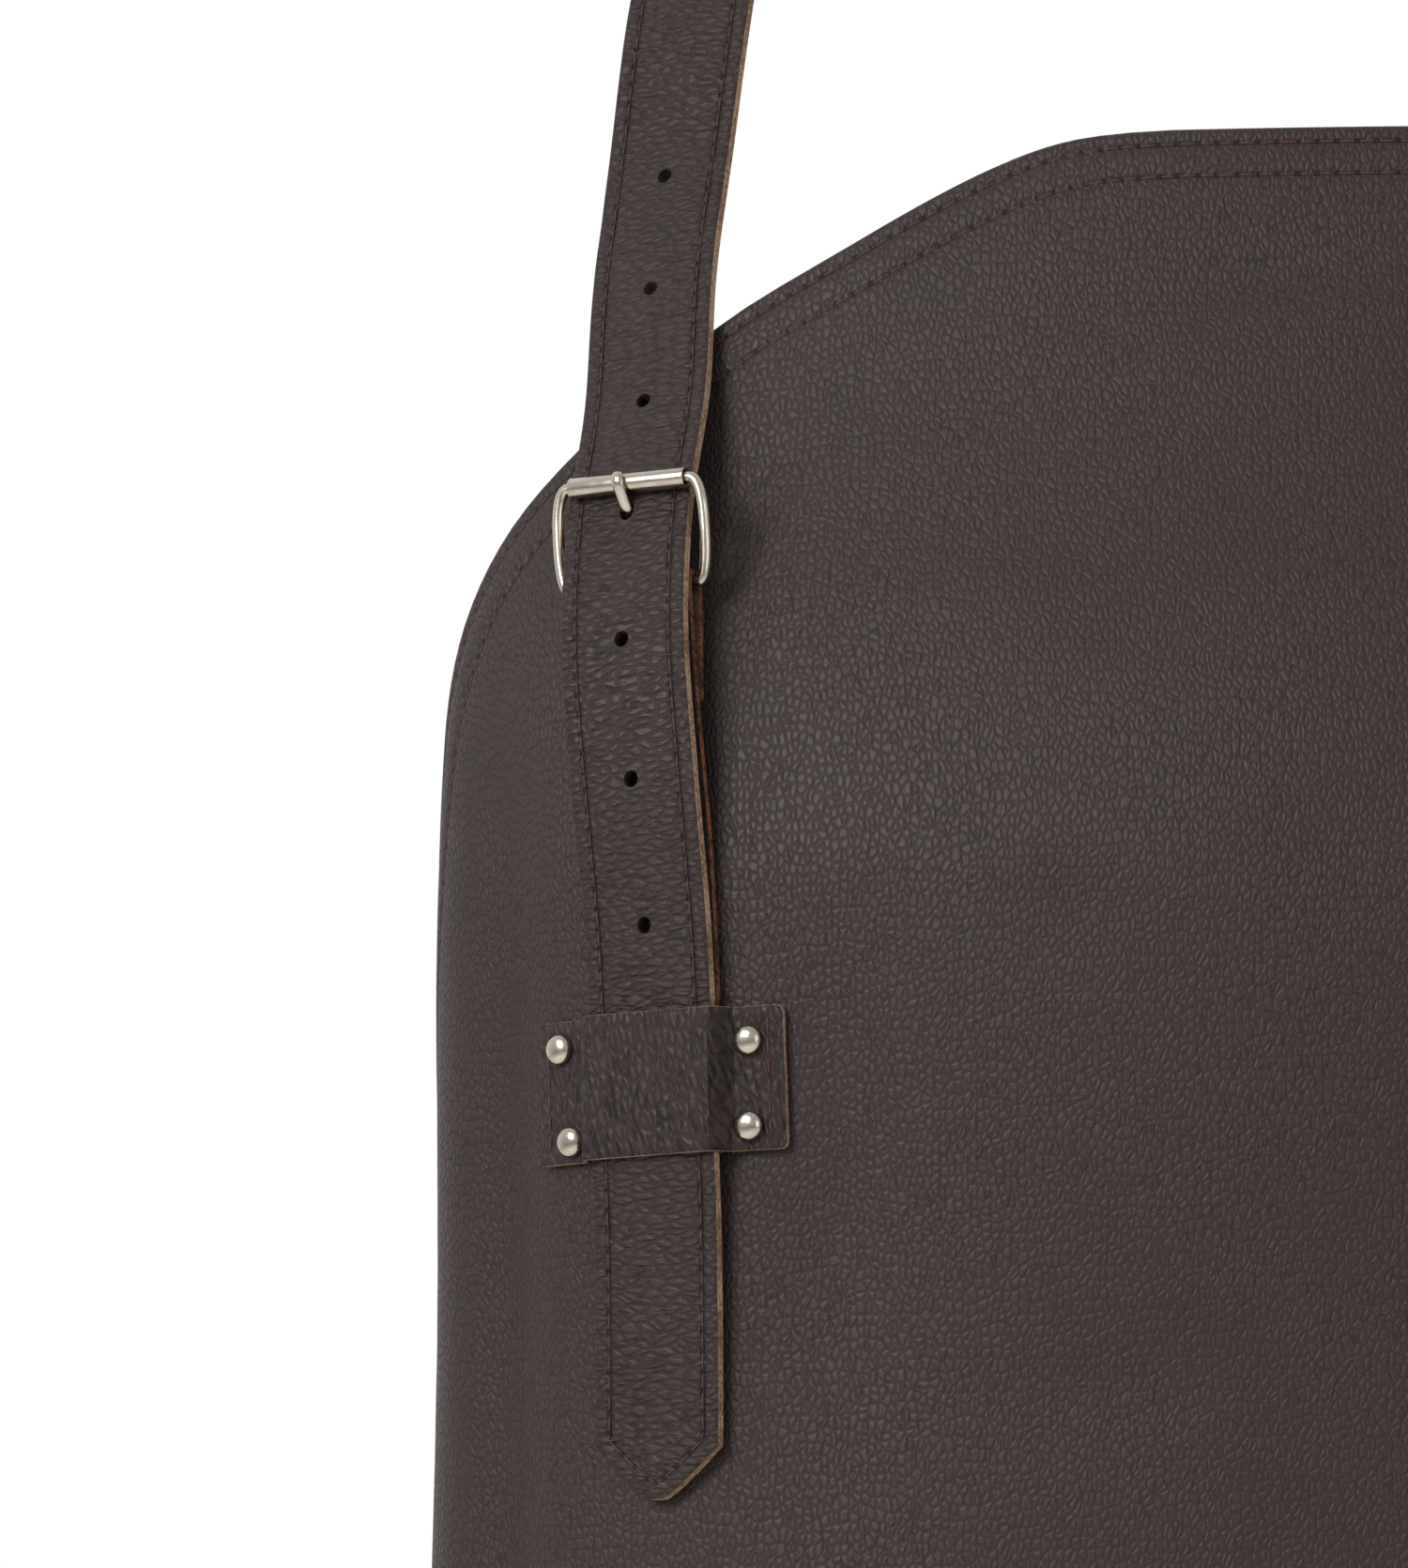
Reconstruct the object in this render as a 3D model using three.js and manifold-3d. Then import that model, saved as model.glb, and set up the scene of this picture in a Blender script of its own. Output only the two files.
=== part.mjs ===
// Leather bib apron with buckled shoulder straps, in the form it takes when worn.
// Millimetres, +Z up, front towards -Y. The origin lies midway between the two straps,
// at the height and depth where they rest on the shoulders.

import * as THREE from "three";
import { mergeVertices } from "three/addons/utils/BufferGeometryUtils.js";
import Module from "manifold-3d";

const wasm = await Module();
wasm.setup();

// Body form that the leather follows
const TORSO_HALF_WIDTH = 225;
const TORSO_FRONT_DEPTH = 94;
const TORSO_BACK_DEPTH = 112;
const CHEST_FORWARD = 76; // centre of the form ahead of the shoulder rest
const SHOULDER_RISE = 76.5; // bib top below the shoulder rest

// Apron panel
const BIB_HEIGHT = 300; // bib top to the waist
const SKIRT_LENGTH = 560; // waist to the bottom hem
const APRON_HALF_WIDTH = 300; // half of the flat width at the waist and below
const PANEL_LEATHER = 2;
const HEM_WIDTH = 15;
const HEM_TURN = 1.3; // thinned leather turned in behind the edge

// Shoulder strap, two layers sewn together
const STRAP_WIDTH = 32;
const STRAP_THICKNESS = 3.3;
const STRAP_POINT = 12; // length of the pointed tail
const STRAP_SIDE = 160; // strap centre from the middle of the shoulders
const SHOULDER_RADIUS = 60; // roundness of the shoulder that carries the strap
const HOLE_PITCH = 34;
const HOLE_DIAMETER = 4;
const TONGUE_HOLE_STRETCH = 1.4; // the hole in use is drawn out along the strap
const HOLES_ABOVE = 3;
const HOLES_BELOW = 3;

// Roller buckle
const WIRE_DIAMETER = 2.8;
const BUCKLE_LENGTH = 24.6; // heel bar to roller, centre to centre
const BUCKLE_HALF_WIDTH = 19.6; // middle of each side bar
const HEEL_HALF = 17; // straight half of the heel bar
const ROLLER_HALF = 15.5;
const ROLLER_EASE = 0.5; // straight bar beyond the roller
const ROLLER_ASIDE = 1.3; // both bars' middles beside the strap's
const HEEL_ASIDE = -0.5;
const BUCKLE_SKEW = 8; // degrees that both bars hang askew on the strap
const FRAME_SQUARENESS = 2.5; // 2 would give round side bars
const ROLLER_LEAD = 0.23; // roller above the tongue's hole, as a share of BUCKLE_LENGTH
const ROLLER_WALL = 0.8;
const TONGUE_WIDTH = 2.8;
const TONGUE_THICKNESS = 1.8;
const TONGUE_LEAN = 1.4; // tip beside the roller's centre

// Buckle strap that holds the heel bar
const CHAPE_THICKNESS = 1.8;
const CHAPE_LAP = 32; // folded layer below the heel bar
const CHAPE_SLOT = 20;
const CHAPE_SLOT_EASE = 2.2; // slot wider than the tongue
const BUCKLE_FLOAT = 3; // the taut strap holds the buckle this far off the bib

// Keeper patch and rivets
const PATCH_LEATHER = 2;
const PATCH_HALF_WIDTH = 32.4;
const PATCH_HEIGHT = 33;
const PATCH_DROP = 228; // patch centre below the bib top
const PATCH_ASIDE = -0.8; // patch centre beside the strap's middle
const PATCH_TURN = 1.7; // degrees
const PATCH_RAMP = 3.1; // run in which the patch climbs over the strap
const RIVET_CAP = 7.3;
const RIVET_RISE = 2.6;
const END_RIVET_INSET = 14; // back rivets from the strap's end

// Fits
const GAP = 0.3;
const PATCH_EASE = 0.5; // patch over what it presses on
const CURVE_EASE = 0.8; // flat strap over the rounded form

// Mesh fineness
const SECTION_STEPS = 180; // from the breastbone to the spine
const HEIGHT_STEP = 0.004; // table height over which a slope is taken
const PANEL_COLUMNS = 20; // on each half, hem not counted
const PANEL_ROWS = 24;
const BIB_ROW_SHARE = 0.55; // of the panel's rows
const BIB_ROW_CROWDING = 1.15; // over 1 sets the rows closer near the bib top
const HEM_ROWS = [0.1, 0.45, 1]; // shares of the top hem's height
const WIRE_SIDES = 8;
const FRAME_STEPS = 10; // along each side bar
const TONGUE_SIDES = 6;
const TONGUE_STEPS = 26;
const CURL_DEGREES = 30; // between two sections of a curl round the heel bar
const PATCH_STEPS = 4; // down the patch, and across each ramp
const HOLE_SIDES = 10;
const RIVET_SIDES = 10;
const STRAP_STEP = 11; // along the strap in front and over the shoulder
const BACK_STEP = 14;

const COLOURS = { leather: 0x4a3f3a, nickel: 0xb9b6b0 };

// Sections of the body form. Heights above the waist are shares of BIB_HEIGHT below the bib
// top, heights under it run on from 1 by shares of SKIRT_LENGTH.
const SECTIONS = [
  { at: -0.27, width: 0.8, front: 0.64, back: 0.85, setback: 0.51 },
  { at: 0.0, width: 0.858, front: 0.745, back: 0.88, setback: 0.383 },
  { at: 0.107, width: 0.893, front: 0.787, back: 0.9, setback: 0.319 },
  { at: 0.213, width: 0.938, front: 0.83, back: 0.92, setback: 0.255 },
  { at: 0.32, width: 0.978, front: 0.894, back: 0.94, setback: 0.181 },
  { at: 0.393, width: 0.993, front: 0.936, back: 0.96, setback: 0.117 },
  { at: 0.5, width: 0.998, front: 0.979, back: 0.98, setback: 0.043 },
  { at: 0.613, width: 1.0, front: 1.0, back: 0.98, setback: 0.0 },
  { at: 1.0, width: 1.0, front: 1.0, back: 0.94, setback: 0.0 },
  { at: 1.3, width: 1.02, front: 1.05, back: 1.02, setback: 0.0 },
  { at: 2.0, width: 1.07, front: 1.19, back: 1.08, setback: 0.0 },
];

// Half girth of the panel at each height, as a share of APRON_HALF_WIDTH
const OUTLINE = [
  { at: 0.0, girth: 0.165 },
  { at: 0.0018, girth: 0.21 },
  { at: 0.0078, girth: 0.253 },
  { at: 0.0239, girth: 0.302 },
  { at: 0.0503, girth: 0.359 },
  { at: 0.087, girth: 0.428 },
  { at: 0.145, girth: 0.535 },
  { at: 0.238, girth: 0.661 },
  { at: 0.298, girth: 0.732 },
  { at: 0.366, girth: 0.787 },
  { at: 0.438, girth: 0.828 },
  { at: 0.492, girth: 0.846 },
  { at: 0.617, girth: 0.876 },
  { at: 0.85, girth: 0.928 },
  { at: 1.0, girth: 0.962 },
  { at: 1.12, girth: 0.99 },
  { at: 1.25, girth: 1.0 },
  { at: 2.0, girth: 1.0 },
];

// Soft upright folds: girth and half spread as shares of APRON_HALF_WIDTH, rise in shares of
// TORSO_FRONT_DEPTH, heights as in SECTIONS
const FOLDS = [
  { girth: 0.735, spread: 0.04, rise: -0.06, from: 0.38, to: 1.5 },
  { girth: 0.43, spread: 0.05, rise: -0.025, from: 0.6, to: 1.1 },
  { girth: 0.55, spread: 0.09, rise: 0.09, from: 1.45, to: 2.3 },
  { girth: 0.36, spread: 0.08, rise: -0.09, from: 1.4, to: 2.3 },
  { girth: 0.16, spread: 0.09, rise: 0.08, from: 1.35, to: 2.3 },
];

// Middle of the strap in front: height as in SECTIONS, girth as a share of APRON_HALF_WIDTH.
// Its underside stands off the panel by a share of the buckle strap that it lies on, and
// by a share of its further rise over the buckle. turn is in degrees, towards the front.
const STRAP_FRONT = [
  { at: 1.042, girth: 0.57, lie: 0.1, rise: 0.0, turn: 0 },
  { at: 0.965, girth: 0.569, lie: 0.42, rise: 0.0, turn: 0 },
  { at: 0.87, girth: 0.569, lie: 0.8, rise: 0.0, turn: 0 },
  { at: 0.818, girth: 0.57, lie: 1.0, rise: 0.0, turn: 0 },
  { at: 0.758, girth: 0.572, lie: 1.0, rise: 0.0, turn: 0 },
  { at: 0.705, girth: 0.573, lie: 1.0, rise: 0.0, turn: 0 },
  { at: 0.635, girth: 0.576, lie: 1.0, rise: 0.08, turn: 0 },
  { at: 0.528, girth: 0.58, lie: 1.0, rise: 0.62, turn: 0 },
  { at: 0.424, girth: 0.585, lie: 1.0, rise: 0.98, turn: 0 },
  { at: 0.325, girth: 0.584, lie: 1.0, rise: 0.99, turn: 0 },
  { at: 0.22, girth: 0.583, lie: 0.0, rise: 0.55, turn: 2 },
  { at: 0.113, girth: 0.59, lie: 0.0, rise: 0.06, turn: 6 },
  { at: 0.003, girth: 0.594, lie: 0.0, rise: -0.55, turn: 12 },
  { at: -0.148, girth: 0.588, lie: 0.0, rise: -1.0, turn: 18 },
];
const TONGUE_HOLE_ROW = 9;
const UPWARDS = new THREE.Vector3(0, 0, 1);

// Strap over the shoulder and the shoulder blade: side as a share of STRAP_SIDE, back and drop
// as shares of SHOULDER_RADIUS. It faces outwards by lean, backwards by back and upwards by tilt.
const STRAP_SHOULDER = [
  { side: 1.01, back: -0.5, drop: 0.14, lean: 0.36, tilt: 0.86 },
  { side: 1.02, back: 0.0, drop: 0.0, lean: 0.24, tilt: 1.0 },
  { side: 1.05, back: 0.45, drop: 0.14, lean: 0.34, tilt: 0.86 },
  { side: 1.09, back: 0.74, drop: 0.55, lean: 0.58, tilt: 0.45 },
  { side: 1.12, back: 0.83, drop: 1.1, lean: 0.72, tilt: 0.0 },
  { side: 1.13, back: 0.8, drop: 1.7, lean: 0.66, tilt: 0.0 },
  { side: 1.085, back: 0.73, drop: 2.3, lean: 0.5, tilt: 0.0 },
  { side: 0.99, back: 0.67, drop: 2.85, lean: 0.36, tilt: 0.0 },
];

// Strap down the back: height as in SECTIONS, girth from the spine as a share of
// APRON_HALF_WIDTH, negative once it has crossed to the other side. It stands further off by a
// share of the lift where the straps cross, and by a share of its own thickness on the panel.
const STRAP_BACK = [
  { at: 0.407, spine: 0.43, over: 0.0, off: 1.5 },
  { at: 0.49, spine: 0.345, over: 0.1, off: 0.6 },
  { at: 0.563, spine: 0.25, over: 0.5, off: 0.1 },
  { at: 0.64, spine: 0.14, over: 1.0, off: 0.0 },
  { at: 0.73, spine: 0.0, over: 1.0, off: 0.0 },
  { at: 0.813, spine: -0.14, over: 1.0, off: 0.0 },
  { at: 0.873, spine: -0.24, over: 0.55, off: 0.0 },
  { at: 0.96, spine: -0.385, over: 0.05, off: 0.1 },
  { at: 1.025, spine: -0.53, over: 0.0, off: 0.6 },
  { at: 1.071, spine: -0.68, over: 0.0, off: 0.85 },
  { at: 1.12, spine: -0.83, over: 0.0, off: 0.45 },
];

// Rivets of the patch, from its own middle
const PATCH_RIVETS = [
  { across: -25.1, down: -10.1 },
  { across: 24.1, down: -8.7 },
  { across: -22.5, down: 11.6 },
  { across: 23.7, down: 11.0 },
];

// Folded layers of the buckle strap: distance of each centre line from the panel, in shares of
// the heel bar's stand-off, against the share of the way from the patch up to the heel bar
const CHAPE_FRONT = [
  { up: 0.0, stand: 0.0 },
  { up: 0.3, stand: 0.0 },
  { up: 0.42, stand: 0.02 },
  { up: 0.55, stand: 0.2 },
  { up: 0.7, stand: 0.55 },
  { up: 0.86, stand: 0.84 },
];

// Folded layer's end below the heel bar, in shares of CHAPE_LAP
const CHAPE_BACK = [0.35, 0.7, 1];

// Tongue through the strap: up from its hole in shares of the strap's thickness, out from the
// strap's middle in shares of its stand-off when it lies flat on the strap
const TONGUE_THROUGH = [
  { up: -1.6, out: -1 },
  { up: -0.55, out: -0.75 },
  { up: -0.05, out: 0 },
  { up: 0.2, out: 0.75 },
];

// Places of the tongue round the roller, in degrees beyond its top
const TONGUE_OVER = [-78, -40, -8, 14];
const TONGUE_CURL = 210; // degrees round the heel bar

// Value of one column of a table at a height, on a smooth curve through its rows
function readTable(rows, column, at) {
  const last = rows.length - 1;
  const clamped = Math.min(Math.max(at, rows[0].at), rows[last].at);
  let i = 0;
  while (i < last - 1 && rows[i + 1].at < clamped) i += 1;
  const slope = (k) => {
    const before = rows[Math.max(k - 1, 0)];
    const after = rows[Math.min(k + 1, last)];
    return (after[column] - before[column]) / (after.at - before.at);
  };
  const span = rows[i + 1].at - rows[i].at;
  const t = (clamped - rows[i].at) / span;
  const t2 = t * t;
  const t3 = t2 * t;
  return (
    (2 * t3 - 3 * t2 + 1) * rows[i][column] +
    (t3 - 2 * t2 + t) * span * slope(i) +
    (3 * t2 - 2 * t3) * rows[i + 1][column] +
    (t3 - t2) * span * slope(i + 1)
  );
}

// Height in the part's frame of a table height
function heightOf(at) {
  const drop = at <= 1 ? at * BIB_HEIGHT : BIB_HEIGHT + (at - 1) * SKIRT_LENGTH;
  return -SHOULDER_RISE - drop;
}

// Table height of a distance below the bib top
function tableHeight(drop) {
  return drop <= BIB_HEIGHT ? drop / BIB_HEIGHT : 1 + (drop - BIB_HEIGHT) / SKIRT_LENGTH;
}

// Outline of the body form at one height, as points from the breastbone round to the spine
const sectionCache = new Map();
function sectionAt(at) {
  const key = at.toFixed(5);
  if (sectionCache.has(key)) return sectionCache.get(key);
  const halfWidth = TORSO_HALF_WIDTH * readTable(SECTIONS, "width", at);
  const front = TORSO_FRONT_DEPTH * readTable(SECTIONS, "front", at);
  const back = TORSO_BACK_DEPTH * readTable(SECTIONS, "back", at);
  const setback = TORSO_FRONT_DEPTH * readTable(SECTIONS, "setback", at);
  const points = [];
  for (let i = 0; i <= SECTION_STEPS; i += 1) {
    const angle = (Math.PI * i) / SECTION_STEPS;
    const depth = angle < Math.PI / 2 ? front : back;
    const x = halfWidth * Math.sin(angle);
    const y = setback - CHEST_FORWARD - depth * Math.cos(angle);
    const before = points[i - 1];
    const girth = before ? before.girth + Math.hypot(x - before.x, y - before.y) : 0;
    points.push({ x, y, girth });
  }
  const section = { points, halfGirth: points[SECTION_STEPS].girth };
  sectionCache.set(key, section);
  return section;
}

// Point of the smooth body form at a girth from the breastbone and a table height
function bodyPoint(girth, at) {
  const { points, halfGirth } = sectionAt(at);
  const round = 2 * halfGirth;
  const wrapped = girth - round * Math.round(girth / round);
  const wanted = Math.abs(wrapped);
  let low = 0;
  let high = points.length - 1;
  while (high - low > 1) {
    const middle = (low + high) >> 1;
    if (points[middle].girth <= wanted) low = middle;
    else high = middle;
  }
  const share = (wanted - points[low].girth) / (points[high].girth - points[low].girth);
  const x = THREE.MathUtils.lerp(points[low].x, points[high].x, share);
  const y = THREE.MathUtils.lerp(points[low].y, points[high].y, share);
  return new THREE.Vector3(Math.sign(wrapped) * x, y, heightOf(at));
}

// Outward direction of the body form, measured over a reach of girth to each side
function bodyNormal(girth, at, reach = 1.5) {
  const across = bodyPoint(girth + reach, at).sub(bodyPoint(girth - reach, at));
  const down = bodyPoint(girth, at + HEIGHT_STEP).sub(bodyPoint(girth, at - HEIGHT_STEP));
  return down.cross(across).normalize();
}

// Rise of the leather over the body form, from the soft folds
function foldRise(girth, at) {
  let rise = 0;
  for (const fold of FOLDS) {
    const offset = (Math.abs(girth) - fold.girth * APRON_HALF_WIDTH) / (fold.spread * APRON_HALF_WIDTH);
    const along = (at - fold.from) / (fold.to - fold.from);
    if (along <= 0 || along >= 1) continue;
    rise += fold.rise * TORSO_FRONT_DEPTH * Math.exp(-offset * offset) * Math.sin(Math.PI * along);
  }
  return rise;
}

// Point at a distance outside the panel's face; depth is negative inside the leather
function facePoint(girth, at, depth) {
  const rise = foldRise(girth, at);
  return bodyPoint(girth, at).addScaledVector(bodyNormal(girth, at), rise + depth);
}

// Closed skin from rings of points: each ring has as many points, and turns the same way
function skin(rings, looped) {
  const size = rings[0].length;
  const positions = rings.flat().flatMap((p) => [p.x, p.y, p.z]);
  const index = [];
  const spans = looped ? rings.length : rings.length - 1;
  for (let i = 0; i < spans; i += 1) {
    const here = i * size;
    const next = ((i + 1) % rings.length) * size;
    for (let j = 0; j < size; j += 1) {
      const k = (j + 1) % size;
      index.push(here + j, next + j, next + k, here + j, next + k, here + k);
    }
  }
  if (!looped) {
    const end = (rings.length - 1) * size;
    for (let j = 1; j < size - 1; j += 1) {
      index.push(0, j, j + 1);
      index.push(end, end + j + 1, end + j);
    }
  }
  return meshOf(positions, index);
}

// Closed sheet from two grids of points that match, one for each face
function sheet(face, inside) {
  const [rows, columns] = [face.length, face[0].length];
  const positions = [...face, ...inside].flat().flatMap((p) => [p.x, p.y, p.z]);
  const index = [];
  const quad = (a, b, c, d) => index.push(a, b, c, a, c, d);
  const outer = (i, j) => i * columns + j;
  const inner = (i, j) => (rows + i) * columns + j;
  for (let i = 0; i < rows - 1; i += 1) {
    for (let j = 0; j < columns - 1; j += 1) {
      quad(outer(i, j), outer(i + 1, j), outer(i + 1, j + 1), outer(i, j + 1));
      quad(inner(i, j), inner(i, j + 1), inner(i + 1, j + 1), inner(i + 1, j));
    }
    const last = columns - 1;
    quad(outer(i, 0), inner(i, 0), inner(i + 1, 0), outer(i + 1, 0));
    quad(outer(i, last), outer(i + 1, last), inner(i + 1, last), inner(i, last));
  }
  for (let j = 0; j < columns - 1; j += 1) {
    const last = rows - 1;
    quad(outer(0, j), outer(0, j + 1), inner(0, j + 1), inner(0, j));
    quad(outer(last, j), inner(last, j), inner(last, j + 1), outer(last, j + 1));
  }
  return meshOf(positions, index);
}

function meshOf(positions, index) {
  const geometry = new THREE.BufferGeometry();
  geometry.setAttribute("position", new THREE.Float32BufferAttribute(positions, 3));
  geometry.setIndex(index);
  return facingOut(geometry);
}

// Signed volume decides whether the triangles are turned round
function facingOut(geometry) {
  const p = geometry.getAttribute("position");
  const index = geometry.getIndex().array;
  const [a, b, c] = [new THREE.Vector3(), new THREE.Vector3(), new THREE.Vector3()];
  let volume = 0;
  for (let i = 0; i < index.length; i += 3) {
    a.fromBufferAttribute(p, index[i]);
    b.fromBufferAttribute(p, index[i + 1]);
    c.fromBufferAttribute(p, index[i + 2]);
    volume += a.dot(b.cross(c));
  }
  if (volume < 0) {
    for (let i = 0; i < index.length; i += 3) {
      [index[i + 1], index[i + 2]] = [index[i + 2], index[i + 1]];
    }
  }
  return geometry;
}

// Ring of section corners at a station, which holds a place, a side and an outward direction
function ringAt(station, corners) {
  return corners.map(([across, out]) =>
    station.at.clone().addScaledVector(station.side, across).addScaledVector(station.out, out),
  );
}

function bandCorners(width, thickness) {
  const [w, t] = [width / 2, thickness / 2];
  return [[-w, -t], [w, -t], [w, t], [-w, t]];
}

function roundCorners(width, thickness, sides) {
  const corners = [];
  for (let i = 0; i < sides; i += 1) {
    const angle = (2 * Math.PI * i) / sides;
    corners.push([(width / 2) * Math.cos(angle), (thickness / 2) * Math.sin(angle)]);
  }
  return corners;
}

// Smooth route through places, each with a direction that its outer face looks in
class Route {
  constructor(rows) {
    this.line = new THREE.CatmullRomCurve3(rows.map((row) => row.place), false, "centripetal");
    this.facing = new THREE.CatmullRomCurve3(rows.map((row) => row.facing), false, "centripetal");
    this.line.arcLengthDivisions = 1600;
    this.length = this.line.getLength();
    this.rowCount = rows.length;
  }

  // Distance along the route of one of its rows
  distanceOfRow(row) {
    const lengths = this.line.getLengths();
    return lengths[Math.round((row / (this.rowCount - 1)) * (lengths.length - 1))];
  }

  // Distances that step through every row, no further apart than a limit
  steps(limit) {
    const distances = [0];
    for (let row = 1; row < this.rowCount; row += 1) {
      const start = this.distanceOfRow(row - 1);
      const span = this.distanceOfRow(row) - start;
      const count = Math.ceil(span / limit);
      for (let i = 1; i <= count; i += 1) distances.push(start + (span * i) / count);
    }
    return distances;
  }

  station(distance) {
    const t = this.line.getUtoTmapping(THREE.MathUtils.clamp(distance / this.length, 0, 1));
    const along = this.line.getTangent(t).normalize();
    const facing = this.facing.getPoint(t);
    const out = facing.addScaledVector(along, -facing.dot(along)).normalize();
    const side = along.clone().cross(out).normalize();
    return { at: this.line.getPoint(t), along, out, side };
  }
}

function solidOf(geometry) {
  const bare = geometry.clone();
  bare.deleteAttribute("normal");
  bare.deleteAttribute("uv");
  const merged = mergeVertices(bare, 1e-4);
  return new wasm.Manifold(
    new wasm.Mesh({
      numProp: 3,
      vertProperties: merged.getAttribute("position").array,
      triVerts: new Uint32Array(merged.getIndex().array),
    }),
  );
}

function geometryOf(solid) {
  const mesh = solid.getMesh();
  const geometry = new THREE.BufferGeometry();
  geometry.setAttribute("position", new THREE.BufferAttribute(mesh.vertProperties, 3));
  geometry.setIndex(new THREE.BufferAttribute(mesh.triVerts, 1));
  return geometry;
}

function cutFrom(geometry, cutters) {
  return geometryOf(cutters.reduce((rest, cutter) => rest.subtract(solidOf(cutter)), solidOf(geometry)));
}

function mirrored(geometry) {
  const turned = geometry.clone().applyMatrix4(new THREE.Matrix4().makeScale(-1, 1, 1));
  return facingOut(turned);
}

function matrixAt(station) {
  return new THREE.Matrix4()
    .makeBasis(station.side, station.along, station.out)
    .setPosition(station.at);
}

// Stretched-out columns of the panel at one height: even inside, then the hem and the edge
function columnGirths(at) {
  const half = APRON_HALF_WIDTH * readTable(OUTLINE, "girth", at);
  const ahead = APRON_HALF_WIDTH * readTable(OUTLINE, "girth", at + HEIGHT_STEP);
  const slant = (ahead - half) / (heightOf(at) - heightOf(at + HEIGHT_STEP));
  const hem = Math.min(HEM_WIDTH * Math.hypot(1, slant), half / 2);
  const inner = [];
  for (let i = 0; i <= PANEL_COLUMNS; i += 1) {
    inner.push(((half - hem - HEM_TURN) * i) / PANEL_COLUMNS);
  }
  const right = [...inner.map((girth) => ({ girth, hem: false })), { girth: half - hem, hem: true }];
  right.push({ girth: half, hem: true });
  const left = right.slice(1).reverse().map(({ girth, hem: turned }) => ({ girth: -girth, hem: turned }));
  return [...left, ...right];
}

// Heights of the panel's rows: close together where the bib edge bends, then even
function rowHeights() {
  const rows = [{ at: 0, hem: true }];
  const bibRows = Math.round(PANEL_ROWS * BIB_ROW_SHARE);
  for (const share of HEM_ROWS) rows.push({ at: tableHeight(share * HEM_WIDTH), hem: true });
  const start = tableHeight(HEM_WIDTH + HEM_TURN);
  for (let i = 0; i <= bibRows; i += 1) {
    rows.push({ at: start + (1 - start) * (i / bibRows) ** BIB_ROW_CROWDING, hem: false });
  }
  const skirtRows = PANEL_ROWS - bibRows;
  const end = tableHeight(BIB_HEIGHT + SKIRT_LENGTH - HEM_WIDTH - HEM_TURN);
  for (let i = 1; i <= skirtRows; i += 1) {
    rows.push({ at: 1 + ((end - 1) * i) / skirtRows, hem: false });
  }
  rows.push({ at: tableHeight(BIB_HEIGHT + SKIRT_LENGTH - HEM_WIDTH), hem: true });
  rows.push({ at: 2, hem: true });
  return rows;
}

// Bib and skirt in one piece, with the hem turned in behind its whole edge
function makePanel() {
  const rows = rowHeights();
  const face = rows.map((row) => columnGirths(row.at).map(({ girth }) => facePoint(girth, row.at, 0)));
  const inside = rows.map((row) =>
    columnGirths(row.at).map(({ girth, hem }) =>
      facePoint(girth, row.at, -PANEL_LEATHER - (hem || row.hem ? HEM_TURN : 0)),
    ),
  );
  return sheet(face, inside);
}

// Route of the wearer's right-hand strap, from its pointed tail up over the shoulder and down
// to the other side of the apron. lift raises it where the two straps cross.
function strapRoute(lift) {
  const half = STRAP_THICKNESS / 2;
  const wide = STRAP_WIDTH / 4;
  const layer = CHAPE_THICKNESS + GAP;
  const overBuckle = CHAPE_THICKNESS + WIRE_DIAMETER + 3 * GAP + BUCKLE_FLOAT;
  const front = STRAP_FRONT.map((row) => {
    const girth = -row.girth * APRON_HALF_WIDTH;
    const stand = half + GAP + row.lie * layer + row.rise * overBuckle;
    const out = bodyNormal(girth, row.at, wide);
    const place = bodyPoint(girth, row.at).addScaledVector(out, stand);
    return { place, facing: out.applyAxisAngle(UPWARDS, THREE.MathUtils.degToRad(row.turn)) };
  });
  const shoulder = STRAP_SHOULDER.map((row) => {
    const place = new THREE.Vector3(
      -row.side * STRAP_SIDE,
      row.back * SHOULDER_RADIUS,
      half - row.drop * SHOULDER_RADIUS,
    );
    return { place, facing: new THREE.Vector3(-row.lean, row.back, row.tilt).normalize() };
  });
  const back = STRAP_BACK.map((row) => {
    const girth = -sectionAt(row.at).halfGirth + row.spine * APRON_HALF_WIDTH;
    const stand = half + CURVE_EASE + row.over * lift + row.off * STRAP_THICKNESS;
    const facing = bodyNormal(girth, row.at, wide);
    return { place: bodyPoint(girth, row.at).addScaledVector(facing, stand), facing };
  });
  return new Route([...front, ...shoulder, ...back]);
}

// Share of the full width near the pointed tail
function tailShare(distance) {
  const blunt = 0.1;
  const roundness = 0.85;
  const reach = Math.min(distance / STRAP_POINT, 1);
  return blunt + (1 - blunt) * reach ** roundness;
}

function makeStrap(route) {
  const tailSteps = 4;
  const distances = [];
  for (let i = 0; i < tailSteps; i += 1) distances.push((STRAP_POINT * i) / tailSteps);
  const fine = route.distanceOfRow(STRAP_FRONT.length + STRAP_SHOULDER.length - 1);
  const near = Math.round((fine - STRAP_POINT) / STRAP_STEP);
  for (let i = 0; i < near; i += 1) distances.push(STRAP_POINT + ((fine - STRAP_POINT) * i) / near);
  const far = Math.round((route.length - fine) / BACK_STEP);
  for (let i = 0; i <= far; i += 1) distances.push(fine + ((route.length - fine) * i) / far);
  const rings = distances.map((d) =>
    ringAt(route.station(d), bandCorners(STRAP_WIDTH * tailShare(d), STRAP_THICKNESS)),
  );
  const tongue = route.distanceOfRow(TONGUE_HOLE_ROW);
  const holes = [];
  for (let i = -HOLES_BELOW; i <= HOLES_ABOVE; i += 1) {
    holes.push(makeHole(route.station(tongue + i * HOLE_PITCH), i === 0 ? TONGUE_HOLE_STRETCH : 1));
  }
  return cutFrom(skin(rings, false), holes);
}

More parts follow.
